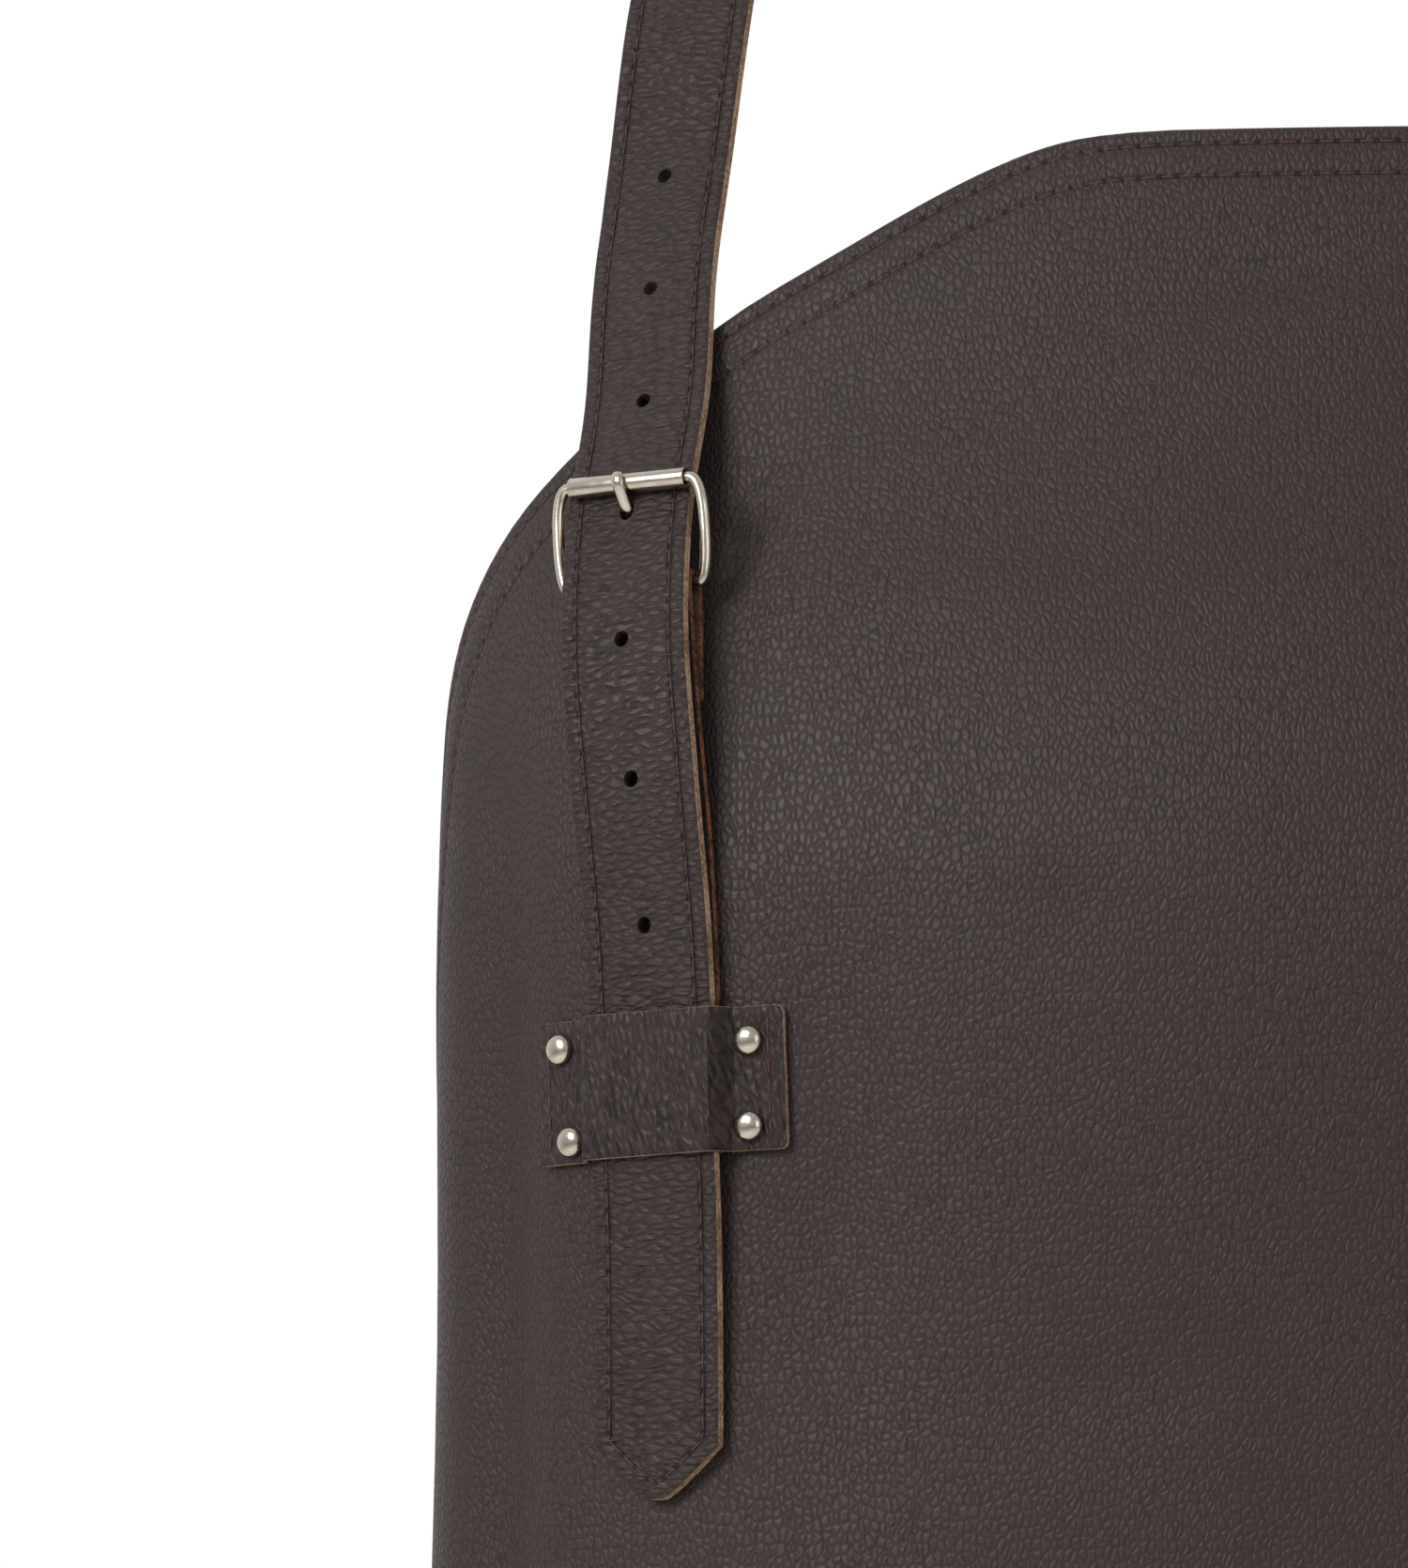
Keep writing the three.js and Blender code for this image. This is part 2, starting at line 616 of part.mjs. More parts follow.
function makeHole(station, stretch) {
  const through = 4 * STRAP_THICKNESS;
  const radius = HOLE_DIAMETER / 2;
  const cutter = new THREE.CylinderGeometry(radius, radius, through, HOLE_SIDES);
  return cutter.rotateX(Math.PI / 2).scale(1, stretch, 1).applyMatrix4(matrixAt(station));
}

// Direction of a bar that hangs askew on the strap and lies level with it
function askewBar({ side, along }) {
  const skew = THREE.MathUtils.degToRad(BUCKLE_SKEW);
  return side.clone().multiplyScalar(Math.cos(skew)).addScaledVector(along, -Math.sin(skew));
}

// Places of the buckle, in the strap's own directions where each bar lies
function bucklePlaces(route) {
  const hole = route.distanceOfRow(TONGUE_HOLE_ROW);
  const rollerRadius = WIRE_DIAMETER / 2 + GAP + ROLLER_WALL;
  const rollerDistance = hole + BUCKLE_LENGTH * ROLLER_LEAD;
  const atRoller = route.station(rollerDistance);
  const roller = atRoller.at
    .clone()
    .addScaledVector(atRoller.out, STRAP_THICKNESS / 2 + GAP + rollerRadius)
    .addScaledVector(atRoller.side, ROLLER_ASIDE);
  const below = WIRE_DIAMETER / 2 + GAP + TONGUE_THICKNESS + GAP + STRAP_THICKNESS / 2;
  const above = STRAP_THICKNESS / 2 + GAP + rollerRadius;
  const drop = Math.sqrt(BUCKLE_LENGTH ** 2 - (below + above) ** 2);
  const atHeel = route.station(rollerDistance - drop);
  const heel = atHeel.at.clone()
    .addScaledVector(atHeel.out, -below)
    .addScaledVector(atHeel.side, HEEL_ASIDE);
  const along = roller.clone().sub(heel).normalize();
  const out = atHeel.side.clone().cross(along).normalize();
  const rollerBar = askewBar(atRoller);
  const heelBar = askewBar(atHeel);
  return { hole, roller, rollerRadius, rollerBar, atRoller, heel, heelBar, atHeel, out };
}

// Wire ring: two straight bars joined by bulging side bars
function makeBuckleFrame(places) {
  const power = 2 / FRAME_SQUARENESS;
  const outline = [];
  for (const turn of [1, -1]) {
    for (let i = 0; i <= FRAME_STEPS; i += 1) {
      const angle = (Math.PI * i) / FRAME_STEPS;
      const up = turn * Math.sign(Math.cos(angle)) * Math.abs(Math.cos(angle)) ** power;
      const share = (1 + up) / 2;
      const straight = THREE.MathUtils.lerp(HEEL_HALF, ROLLER_HALF + ROLLER_EASE, share);
      const across = straight + (BUCKLE_HALF_WIDTH - straight) * Math.sin(angle) ** power;
      const bar = places.heelBar.clone().lerp(places.rollerBar, share);
      const middle = places.heel.clone().lerp(places.roller, share);
      outline.push(middle.addScaledVector(bar, turn * across));
    }
  }
  const count = outline.length;
  const rings = outline.map((at, i) => {
    const along = outline[(i + 1) % count].clone().sub(outline[(i + count - 1) % count]).normalize();
    const side = along.clone().cross(places.out).normalize();
    const station = { at, out: side.clone().cross(along), side };
    return ringAt(station, roundCorners(WIRE_DIAMETER, WIRE_DIAMETER, WIRE_SIDES));
  });
  return skin(rings, true);
}

function makeRoller({ roller, rollerRadius, rollerBar, atRoller }) {
  const half = ROLLER_HALF;
  const inner = WIRE_DIAMETER / 2 + GAP;
  const profile = [
    new THREE.Vector2(inner, -half),
    new THREE.Vector2(rollerRadius, -half),
    new THREE.Vector2(rollerRadius, half),
    new THREE.Vector2(inner, half),
    new THREE.Vector2(inner, -half),
  ];
  const barDirection = new THREE.Matrix4()
    .makeBasis(atRoller.out, rollerBar, atRoller.out.clone().cross(rollerBar))
    .setPosition(roller);
  const tube = new THREE.LatheGeometry(profile, 2 * WIRE_SIDES).applyMatrix4(barDirection);
  tube.deleteAttribute("normal");
  tube.deleteAttribute("uv");
  return facingOut(mergeVertices(tube, 1e-4));
}

// Pin that is curled round the heel bar, passes up through a strap hole and rests on the roller
function makeTongue(route, places) {
  const half = TONGUE_THICKNESS / 2;
  const eye = WIRE_DIAMETER / 2 + GAP + half;
  const { atHeel, heelBar, atRoller, rollerBar } = places;
  const acrossHeel = atHeel.out.clone().cross(heelBar);
  const points = [];
  for (let degrees = -TONGUE_CURL; degrees <= 0; degrees += CURL_DEGREES) {
    const angle = THREE.MathUtils.degToRad(degrees);
    points.push(
      places.heel.clone()
        .addScaledVector(atHeel.out, eye * Math.cos(angle))
        .addScaledVector(acrossHeel, eye * Math.sin(angle)),
    );
  }
  const lie = STRAP_THICKNESS / 2 + GAP + half;
  for (const { up, out } of TONGUE_THROUGH) {
    const station = route.station(places.hole + up * STRAP_THICKNESS);
    points.push(station.at.clone().addScaledVector(station.out, out * lie));
  }
  const top = places.rollerRadius + GAP + half;
  for (const degrees of TONGUE_OVER) {
    const angle = THREE.MathUtils.degToRad(degrees);
    points.push(
      places.roller.clone()
        .addScaledVector(atRoller.out, top * Math.cos(angle))
        .addScaledVector(atRoller.along, top * Math.sin(angle))
        .addScaledVector(rollerBar, -TONGUE_LEAN),
    );
  }
  const line = new THREE.CatmullRomCurve3(points, false, "centripetal");
  const rings = [];
  for (let i = 0; i <= TONGUE_STEPS; i += 1) {
    const share = i / TONGUE_STEPS;
    const along = line.getTangentAt(share);
    const out = heelBar.clone().cross(along).normalize();
    const station = { at: line.getPointAt(share), out, side: heelBar };
    rings.push(ringAt(station, roundCorners(TONGUE_WIDTH, TONGUE_THICKNESS, TONGUE_SIDES)));
  }
  return skin(rings, false);
}

// Strap layer under the billet: from the patch up, round the heel bar and a little way back
function makeChape(route, places) {
  const half = CHAPE_THICKNESS / 2;
  const wrap = WIRE_DIAMETER / 2 + GAP + half;
  const { heel, atHeel } = places;
  const bottom = PATCH_DROP + PATCH_HEIGHT / 2;
  const heelDrop = -SHOULDER_RISE - heel.z;
  const nearest = (drop) => {
    const at = tableHeight(drop);
    const girth = -readTable(STRAP_FRONT.toReversed(), "girth", at) * APRON_HALF_WIDTH;
    return { girth, at };
  };
  const heelRow = nearest(heelDrop);
  const heelStand = heel.clone()
    .sub(bodyPoint(heelRow.girth, heelRow.at))
    .dot(bodyNormal(heelRow.girth, heelRow.at));
  const rowAt = (up, stand) => {
    const { girth, at } = nearest(bottom + (heelDrop - bottom) * up);
    return {
      place: bodyPoint(girth, at).addScaledVector(bodyNormal(girth, at), stand),
      facing: bodyNormal(girth, at),
    };
  };
  const low = GAP + half;
  const rows = CHAPE_FRONT.map(({ up, stand }) => rowAt(up, low + stand * (heelStand + wrap - low)));
  for (let degrees = 0; degrees <= 180; degrees += CURL_DEGREES) {
    const angle = THREE.MathUtils.degToRad(degrees);
    const facing = atHeel.out.clone()
      .multiplyScalar(Math.cos(angle))
      .addScaledVector(atHeel.along, Math.sin(angle));
    rows.push({ place: heel.clone().addScaledVector(facing, wrap), facing });
  }
  const span = bottom - heelDrop;
  for (const share of CHAPE_BACK) {
    const row = rowAt(1 - (share * CHAPE_LAP) / span, heelStand - wrap);
    rows.push({ place: row.place, facing: row.facing.negate() });
  }
  const chape = new Route(rows);
  const slant = Math.tan(THREE.MathUtils.degToRad(BUCKLE_SKEW));
  // The fold follows the bar that hangs askew, less and less further down
  const followBar = (corner) => {
    const from = corner.clone().sub(heel);
    const below = THREE.MathUtils.smoothstep(-from.dot(atHeel.along), 0, CHAPE_LAP);
    return corner.addScaledVector(atHeel.along, -from.dot(atHeel.side) * slant * (1 - below));
  };
  const rings = chape.steps(STRAP_STEP).map((distance) =>
    ringAt(chape.station(distance), bandCorners(STRAP_WIDTH, CHAPE_THICKNESS)).map(followBar),
  );
  const through = 8 * wrap;
  const slot = new THREE.BoxGeometry(TONGUE_WIDTH + CHAPE_SLOT_EASE, CHAPE_SLOT, through);
  slot.applyMatrix4(matrixAt({ ...atHeel, at: heel }));
  return cutFrom(skin(rings, false), [slot]);
}

function patchGirth() {
  return -readTable(STRAP_FRONT.toReversed(), "girth", tableHeight(PATCH_DROP)) * APRON_HALF_WIDTH;
}

// Distances beside the strap's middle and below the bib top, for a place on the turned patch
function patchPlace(across, down) {
  const turn = THREE.MathUtils.degToRad(PATCH_TURN);
  return {
    aside: PATCH_ASIDE + across * Math.cos(turn) + down * Math.sin(turn),
    drop: PATCH_DROP + down * Math.cos(turn) - across * Math.sin(turn),
  };
}

// Point over the patch's underside: flat over the strap, down a ramp, then flat on the panel
function patchPoint(across, down, stand) {
  const { aside, drop } = patchPlace(across, down);
  const girth = patchGirth() + aside;
  const at = tableHeight(drop);
  const middle = bodyPoint(patchGirth(), at);
  const out = bodyNormal(patchGirth(), at);
  const stack = STRAP_THICKNESS + CHAPE_THICKNESS + 2 * GAP + PATCH_EASE;
  const high = bodyPoint(girth, at).sub(middle).projectOnPlane(out).add(middle);
  high.addScaledVector(out, stack + stand);
  const low = facePoint(girth, at, PATCH_EASE + stand);
  const beyond = (Math.abs(aside) - STRAP_WIDTH / 2 - GAP) / PATCH_RAMP;
  return high.lerp(low, THREE.MathUtils.smoothstep(beyond, 0, 1));
}

function makePatch() {
  const ramp = STRAP_WIDTH / 2 + GAP;
  const shares = Array.from({ length: PATCH_STEPS + 1 }, (_, i) => i / PATCH_STEPS);
  const beside = shares.map((share) => ramp + share * PATCH_RAMP);
  const flange = (ramp + PATCH_RAMP + PATCH_HALF_WIDTH) / 2;
  const right = [...beside, flange];
  const inner = [...right.map((value) => -value).reverse(), 0, ...right];
  const rows = shares.map((share) => (share - 0.5) * PATCH_HEIGHT);
  const turn = THREE.MathUtils.degToRad(PATCH_TURN);
  const linesAt = (down) => [
    -PATCH_HALF_WIDTH,
    ...inner.map((aside) => (aside - PATCH_ASIDE - down * Math.sin(turn)) / Math.cos(turn)),
    PATCH_HALF_WIDTH,
  ];
  const grid = (stand) =>
    rows.map((down) => linesAt(down).map((across) => patchPoint(across, down, stand)));
  return sheet(grid(PATCH_LEATHER), grid(0));
}

// Domed rivet cap on its axis, base at its own origin
function makeRivet(at, out) {
  const rings = 3;
  const profile = [new THREE.Vector2(0, 0), new THREE.Vector2(RIVET_CAP / 2, 0)];
  for (let i = 1; i <= rings; i += 1) {
    const angle = (Math.PI / 2) * (i / rings);
    const radius = i === rings ? 0 : (RIVET_CAP / 2) * Math.cos(angle);
    profile.push(new THREE.Vector2(radius, RIVET_RISE * Math.sin(angle)));
  }
  const cap = new THREE.LatheGeometry(profile, RIVET_SIDES);
  cap.deleteAttribute("normal");
  cap.deleteAttribute("uv");
  const upright = new THREE.Quaternion().setFromUnitVectors(new THREE.Vector3(0, 1, 0), out);
  const merged = mergeVertices(cap, 1e-4);
  merged.applyQuaternion(upright).translate(at.x, at.y, at.z);
  return facingOut(merged);
}

function patchRivets() {
  return PATCH_RIVETS.map(({ across, down }) => {
    const { aside, drop } = patchPlace(across, down);
    const out = bodyNormal(patchGirth() + aside, tableHeight(drop));
    return makeRivet(patchPoint(across, down, GAP + PATCH_LEATHER), out);
  });
}

function endRivets(route) {
  return [-0.25, 0.25].map((share) => {
    const station = route.station(route.length - END_RIVET_INSET);
    const base = station.at.clone()
      .addScaledVector(station.side, share * STRAP_WIDTH)
      .addScaledVector(station.out, STRAP_THICKNESS / 2 + PATCH_EASE);
    return makeRivet(base, station.out);
  });
}

const apron = new THREE.Group();
apron.name = "leather_bib_apron";

function addPiece(name, geometry, finish) {
  const metal = finish === "nickel";
  const material = new THREE.MeshStandardMaterial({
    color: COLOURS[finish],
    roughness: metal ? 0.25 : 0.6,
    metalness: metal ? 1 : 0,
  });
  const mesh = new THREE.Mesh(geometry, material);
  mesh.name = name;
  apron.add(mesh);
}

// Strap, buckle, patch and rivets of one side; the left-hand strap passes over the other one
function addSide(side, place, lift) {
  const route = strapRoute(lift);
  const places = bucklePlaces(route);
  addPiece(`shoulder_strap_${side}`, place(makeStrap(route)), "leather");
  addPiece(`buckle_strap_${side}`, place(makeChape(route, places)), "leather");
  addPiece(`buckle_frame_${side}`, place(makeBuckleFrame(places)), "nickel");
  addPiece(`buckle_roller_${side}`, place(makeRoller(places)), "nickel");
  addPiece(`buckle_tongue_${side}`, place(makeTongue(route, places)), "nickel");
  addPiece(`keeper_patch_${side}`, place(makePatch()), "leather");
  patchRivets().forEach((rivet, i) => addPiece(`keeper_rivet_${side}_${i + 1}`, place(rivet), "nickel"));
  endRivets(route).forEach((rivet, i) => addPiece(`back_rivet_${side}_${i + 1}`, place(rivet), "nickel"));
}

addPiece("apron_panel", makePanel(), "leather");
addSide("right", (geometry) => geometry, 0);
addSide("left", mirrored, STRAP_THICKNESS + 2 * GAP);

export default apron;
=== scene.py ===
"""Looks of a leather bib apron with buckled shoulder straps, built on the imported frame.

Lengths are millimetres until a mesh is made. The frame has +Z up and the front towards -Y, and
the wearer's right-hand side lies on -X.
"""

import logging
import math
from dataclasses import dataclass, field
from enum import Enum
from typing import Sequence

import bmesh
import bpy
import numpy as np
from mathutils import Matrix, Vector
from mathutils.kdtree import KDTree

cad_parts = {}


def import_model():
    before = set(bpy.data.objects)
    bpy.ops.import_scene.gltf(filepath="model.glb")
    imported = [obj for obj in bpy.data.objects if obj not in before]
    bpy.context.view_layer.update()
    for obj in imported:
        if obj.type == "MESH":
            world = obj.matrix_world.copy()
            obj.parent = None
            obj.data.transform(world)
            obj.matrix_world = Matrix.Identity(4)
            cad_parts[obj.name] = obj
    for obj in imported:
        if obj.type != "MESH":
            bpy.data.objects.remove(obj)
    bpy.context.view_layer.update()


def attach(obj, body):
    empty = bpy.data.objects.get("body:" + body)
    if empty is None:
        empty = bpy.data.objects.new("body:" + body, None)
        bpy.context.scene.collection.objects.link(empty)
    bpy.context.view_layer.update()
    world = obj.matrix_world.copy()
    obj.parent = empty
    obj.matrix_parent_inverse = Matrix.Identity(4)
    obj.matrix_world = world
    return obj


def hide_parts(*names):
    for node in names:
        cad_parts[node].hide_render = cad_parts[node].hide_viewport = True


logging.basicConfig(level=logging.INFO, format="%(levelname)s %(message)s")
LOG = logging.getLogger("apron")

MM = 0.001
ROOT = "root"
GRAIN_MAP = "grain"
SEAM_MAP = "seam"
# Millimetres: between two stitches, and the keeper patch below the bib top
STITCH_PITCH = 4.7
PATCH_DROP = 228.0
PATCH_HEIGHT = 33.0


def smoothstep(value: np.ndarray) -> np.ndarray:
    """Eases values from 0 to 1 with no corner at either end."""
    held = np.clip(value, 0.0, 1.0)
    return held * held * (3.0 - 2.0 * held)


def unit(vectors: np.ndarray) -> np.ndarray:
    """Scales vectors in the last axis to length one."""
    return vectors / np.linalg.norm(vectors, axis=-1, keepdims=True)


@dataclass(frozen=True)
class Table:
    """Rows of numbers under named columns, read on a smooth curve through the rows."""

    columns: tuple[str, ...]
    rows: tuple[tuple[float, ...], ...]

    def column(self, name: str) -> np.ndarray:
        """Gives one column, from the first row to the last."""
        place = self.columns.index(name)
        return np.array([row[place] for row in self.rows], float)

    def read(self, name: str, at: np.ndarray | float) -> np.ndarray:
        """Reads a column between the rows.

        Args:
            name: Column to read.
            at: Places along the column named at.

        Returns:
            The column's values there, on a curve with an even slope at each row.
        """
        place = self.column("at")
        value = self.column(name)
        last = len(place) - 1
        held = np.clip(at, place[0], place[last])
        i = np.clip(np.searchsorted(place, held, side="left") - 1, 0, last - 1)
        before = np.maximum(np.arange(last + 1) - 1, 0)
        after = np.minimum(np.arange(last + 1) + 1, last)
        slope = (value[after] - value[before]) / (place[after] - place[before])
        span = place[i + 1] - place[i]
        t = (held - place[i]) / span
        t2 = t * t
        t3 = t2 * t
        return (
            (2 * t3 - 3 * t2 + 1) * value[i]
            + (t3 - 2 * t2 + t) * span * slope[i]
            + (3 * t2 - 2 * t3) * value[i + 1]
            + (t3 - t2) * span * slope[i + 1]
        )


class Side(Enum):
    """The wearer's side that a piece belongs to."""

    RIGHT = "right"
    LEFT = "left"


@dataclass(frozen=True)
class BodyForm:
    """Rounded body that the leather hangs round: its sections, and the soft folds over it."""

    half_width: float = 225.0
    front_depth: float = 94.0
    back_depth: float = 112.0
    chest_forward: float = 76.0
    shoulder_rise: float = 76.5
    bib_height: float = 300.0
    skirt_length: float = 560.0
    apron_half_width: float = 300.0
    section_steps: int = 720
    height_step: float = 0.004
    sections: Table = Table(
        ("at", "width", "front", "back", "setback"),
        (
            (-0.27, 0.8, 0.64, 0.85, 0.51),
            (0.0, 0.858, 0.745, 0.88, 0.383),
            (0.107, 0.893, 0.787, 0.9, 0.319),
            (0.213, 0.938, 0.83, 0.92, 0.255),
            (0.32, 0.978, 0.894, 0.94, 0.181),
            (0.393, 0.993, 0.936, 0.96, 0.117),
            (0.5, 0.998, 0.979, 0.98, 0.043),
            (0.613, 1.0, 1.0, 0.98, 0.0),
            (1.0, 1.0, 1.0, 0.94, 0.0),
            (1.3, 1.02, 1.05, 1.02, 0.0),
            (2.0, 1.07, 1.19, 1.08, 0.0),
        ),
    )
    folds: Table = Table(
        ("girth", "spread", "rise", "start", "end"),
        (
            (0.735, 0.04, -0.06, 0.38, 1.5),
            (0.43, 0.05, -0.025, 0.6, 1.1),
            (0.55, 0.09, 0.09, 1.45, 2.3),
            (0.36, 0.08, -0.09, 1.4, 2.3),
            (0.16, 0.09, 0.08, 1.35, 2.3),
        ),
    )
    cache: dict[float, tuple[np.ndarray, np.ndarray, np.ndarray]] = field(default_factory=dict)

    def height_of(self, at: np.ndarray) -> np.ndarray:
        """Height in the frame of a table height."""
        above = at * self.bib_height
        below = self.bib_height + (at - 1) * self.skirt_length
        return -self.shoulder_rise - np.where(at <= 1, above, below)

    def table_height(self, drop: np.ndarray | float) -> np.ndarray:
        """Table height of a distance below the bib top."""
        above = np.asarray(drop) / self.bib_height
        below = 1 + (np.asarray(drop) - self.bib_height) / self.skirt_length
        return np.where(np.asarray(drop) <= self.bib_height, above, below)

    def section(self, at: float) -> tuple[np.ndarray, np.ndarray, np.ndarray]:
        """Outline of the body at one height.

        Args:
            at: Table height.

        Returns:
            Side, depth and girth of its points, from the breastbone round to the spine.
        """
        key = round(float(at), 5)
        if key not in self.cache:
            angle = np.linspace(0.0, math.pi, self.section_steps + 1)
            front = self.front_depth * self.sections.read("front", key)
            back = self.back_depth * self.sections.read("back", key)
            setback = self.front_depth * self.sections.read("setback", key)
            x = self.half_width * self.sections.read("width", key) * np.sin(angle)
            depth = np.where(angle < math.pi / 2, front, back)
            y = setback - self.chest_forward - depth * np.cos(angle)
            steps = np.hypot(np.diff(x), np.diff(y))
            self.cache[key] = (x, y, np.concatenate([[0.0], np.cumsum(steps)]))
        return self.cache[key]

    def half_girth(self, at: float) -> float:
        """Girth from the breastbone to the spine at a table height."""
        return float(self.section(at)[2][-1])

    def points(self, girth: np.ndarray, at: np.ndarray) -> np.ndarray:
        """Points of the smooth body.

        Args:
            girth: Distances round from the breastbone, negative to the wearer's right.
            at: Table heights, one for each girth.

        Returns:
            One point in the frame for each girth.
        """
        girth, at = np.broadcast_arrays(np.asarray(girth, float), np.asarray(at, float))
        found = np.empty(girth.shape + (3,))
        rounded = np.round(at, 5)
        for height in np.unique(rounded):
            here = rounded == height
            x, y, arc = self.section(height)
            whole = 2 * arc[-1]
            wrapped = girth[here] - whole * np.round(girth[here] / whole)
            reach = np.abs(wrapped)
            found[here, 0] = np.sign(wrapped) * np.interp(reach, arc, x)
            found[here, 1] = np.interp(reach, arc, y)
        found[..., 2] = self.height_of(at)
        return found

    def normals(self, girth: np.ndarray, at: np.ndarray, reach: float = 1.5) -> np.ndarray:
        """Outward directions of the body, each taken over a reach of girth to both sides."""
        step = self.height_step
        across = self.points(girth + reach, at) - self.points(girth - reach, at)
        down = self.points(girth, at + step) - self.points(girth, at - step)
        return unit(np.cross(down, across))

    def fold_rise(self, girth: np.ndarray, at: np.ndarray) -> np.ndarray:
        """Rise of the leather over the body from the soft folds."""
        rise = np.zeros(np.broadcast(girth, at).shape)
        for middle, spread, height, start, end in self.folds.rows:
            offset = (np.abs(girth) / self.apron_half_width - middle) / spread
            along = np.clip((at - start) / (end - start), 0.0, 1.0)
            rise += height * self.front_depth * np.exp(-offset * offset) * np.sin(math.pi * along)
        return rise


class Route:
    """Smooth route through places, each with a direction that the outer face looks in."""

    divisions: int = 1600
    tangent_step: float = 0.0001

    def __init__(self, places: Sequence[np.ndarray], facings: Sequence[np.ndarray]) -> None:
        """Lays the curve through the places and measures it."""
        self.places = np.array(places, float)
        self.facings = np.array(facings, float)
        self.share = np.linspace(0.0, 1.0, self.divisions + 1)
        line = self.curve(self.places, self.share)
        steps = np.linalg.norm(np.diff(line, axis=0), axis=1)
        self.arc = np.concatenate([[0.0], np.cumsum(steps)])
        self.length = float(self.arc[-1])

    @staticmethod
    def curve(points: np.ndarray, share: np.ndarray) -> np.ndarray:
        """Points of a centripetal curve through points, at shares of its rows."""
        last = len(points) - 1
        place = np.clip(share, 0.0, 1.0) * last
        i = np.minimum(place.astype(int), last - 1)
        weight = (place - i)[:, None]
        padded = np.vstack([2 * points[0] - points[1], points, 2 * points[-1] - points[-2]])
        p0, p1, p2, p3 = (padded[i + k] for k in range(4))
        knots = [
            np.sum((b - a) ** 2, axis=1, keepdims=True) ** 0.25
            for a, b in ((p0, p1), (p1, p2), (p2, p3))
        ]
        middle = np.where(knots[1] < 1e-4, 1.0, knots[1])
        first = np.where(knots[0] < 1e-4, middle, knots[0])
        third = np.where(knots[2] < 1e-4, middle, knots[2])
        t1 = (p1 - p0) / first - (p2 - p0) / (first + middle) + (p2 - p1) / middle
        t2 = (p2 - p1) / middle - (p3 - p1) / (middle + third) + (p3 - p2) / third
        t1, t2 = t1 * middle, t2 * middle
        square = -3 * p1 + 3 * p2 - 2 * t1 - t2
        cube = 2 * p1 - 2 * p2 + t1 + t2
        return p1 + t1 * weight + square * weight**2 + cube * weight**3

    def distance_of_row(self, row: int) -> float:
        """Distance along the route of one of its rows."""
        return float(self.arc[round(row / (len(self.places) - 1) * self.divisions)])

    def stations(self, distance: np.ndarray) -> tuple[np.ndarray, ...]:
        """Places along the route.

        Args:
            distance: Distances from the route's start.

        Returns:
            Places, and the unit directions along the route, outwards and to its side.
        """
        t = np.interp(distance, self.arc, self.share)
        low = np.clip(t - self.tangent_step, 0.0, 1.0)
        high = np.clip(t + self.tangent_step, 0.0, 1.0)
        along = unit(self.curve(self.places, high) - self.curve(self.places, low))
        facing = self.curve(self.facings, t)
        out = unit(facing - along * np.sum(facing * along, axis=1, keepdims=True))
        return self.curve(self.places, t), along, out, np.cross(along, out)

    def station(self, distance: float) -> tuple[np.ndarray, ...]:
        """One place along the route, with its directions along, outwards and to the side."""
        return tuple(found[0] for found in self.stations(np.array([distance])))


class FlatOutline:
    """Closed outline of a flat cut piece, which tells how far inside it a point lies."""

    spacing: float = 0.5

    def __init__(self, corners: np.ndarray) -> None:
        """Walks round the corners in even steps.

        Args:
            corners: Points of the outline in order, in the flat, without the first one again.
        """
        closed = np.vstack([corners, corners[:1]])
        arc = np.concatenate([[0.0], np.cumsum(np.linalg.norm(np.diff(closed, axis=0), axis=1))])
        self.length = float(arc[-1])
        count = max(int(self.length / self.spacing), 8)
        self.along = np.linspace(0.0, self.length, count, endpoint=False)
        self.spots = np.column_stack([np.interp(self.along, arc, closed[:, k]) for k in (0, 1)])
        ahead = np.roll(self.spots, -1, axis=0) - np.roll(self.spots, 1, axis=0)
        self.tangent = unit(ahead)
        area = np.sum(closed[:-1, 0] * closed[1:, 1] - closed[1:, 0] * closed[:-1, 1]) / 2
        turn = 1.0 if area > 0 else -1.0
        self.inward = turn * np.column_stack([-self.tangent[:, 1], self.tangent[:, 0]])
        self.area = abs(float(area))
        self.tree = KDTree(count)
        for i, spot in enumerate(self.spots):
            self.tree.insert((spot[0], spot[1], 0.0), i)
        self.tree.balance()

    def measure(self, flat: np.ndarray) -> np.ndarray:
        """Measures points from the nearest stretch of the outline.

        Args:
            flat: Points in the flat, in the last axis.

        Returns:
            Distance inside the outline and distance along it, in the last axis.
        """
        loose = flat.reshape(-1, 2)
        nearest = np.array([self.tree.find((p[0], p[1], 0.0))[1] for p in loose])
        offset = loose - self.spots[nearest]
        inside = np.abs(np.sum(offset * self.inward[nearest], axis=1))
        along = self.along[nearest] + np.sum(offset * self.tangent[nearest], axis=1)
        return np.column_stack([inside, along]).reshape(flat.shape)

    def seam_points(self, inset: float, pitch: float) -> np.ndarray:
        """Places of the stitch holes of a row that runs round inside the outline.

        Args:
            inset: Distance of the row from the outline.
            pitch: Distance between two holes, measured on the outline.

        Returns:
            The holes in the flat, with gaps as not-a-number rows where the row turns a corner.
        """
        holes = np.arange(0.0, self.length - pitch / 2, pitch)
        i = np.round(holes / self.length * len(self.along)).astype(int) % len(self.along)
        flat = self.spots[i] + inset * self.inward[i]
        distance = np.array([self.tree.find((p[0], p[1], 0.0))[2] for p in flat])
        flat[distance < inset - self.spacing] = np.nan
        return flat


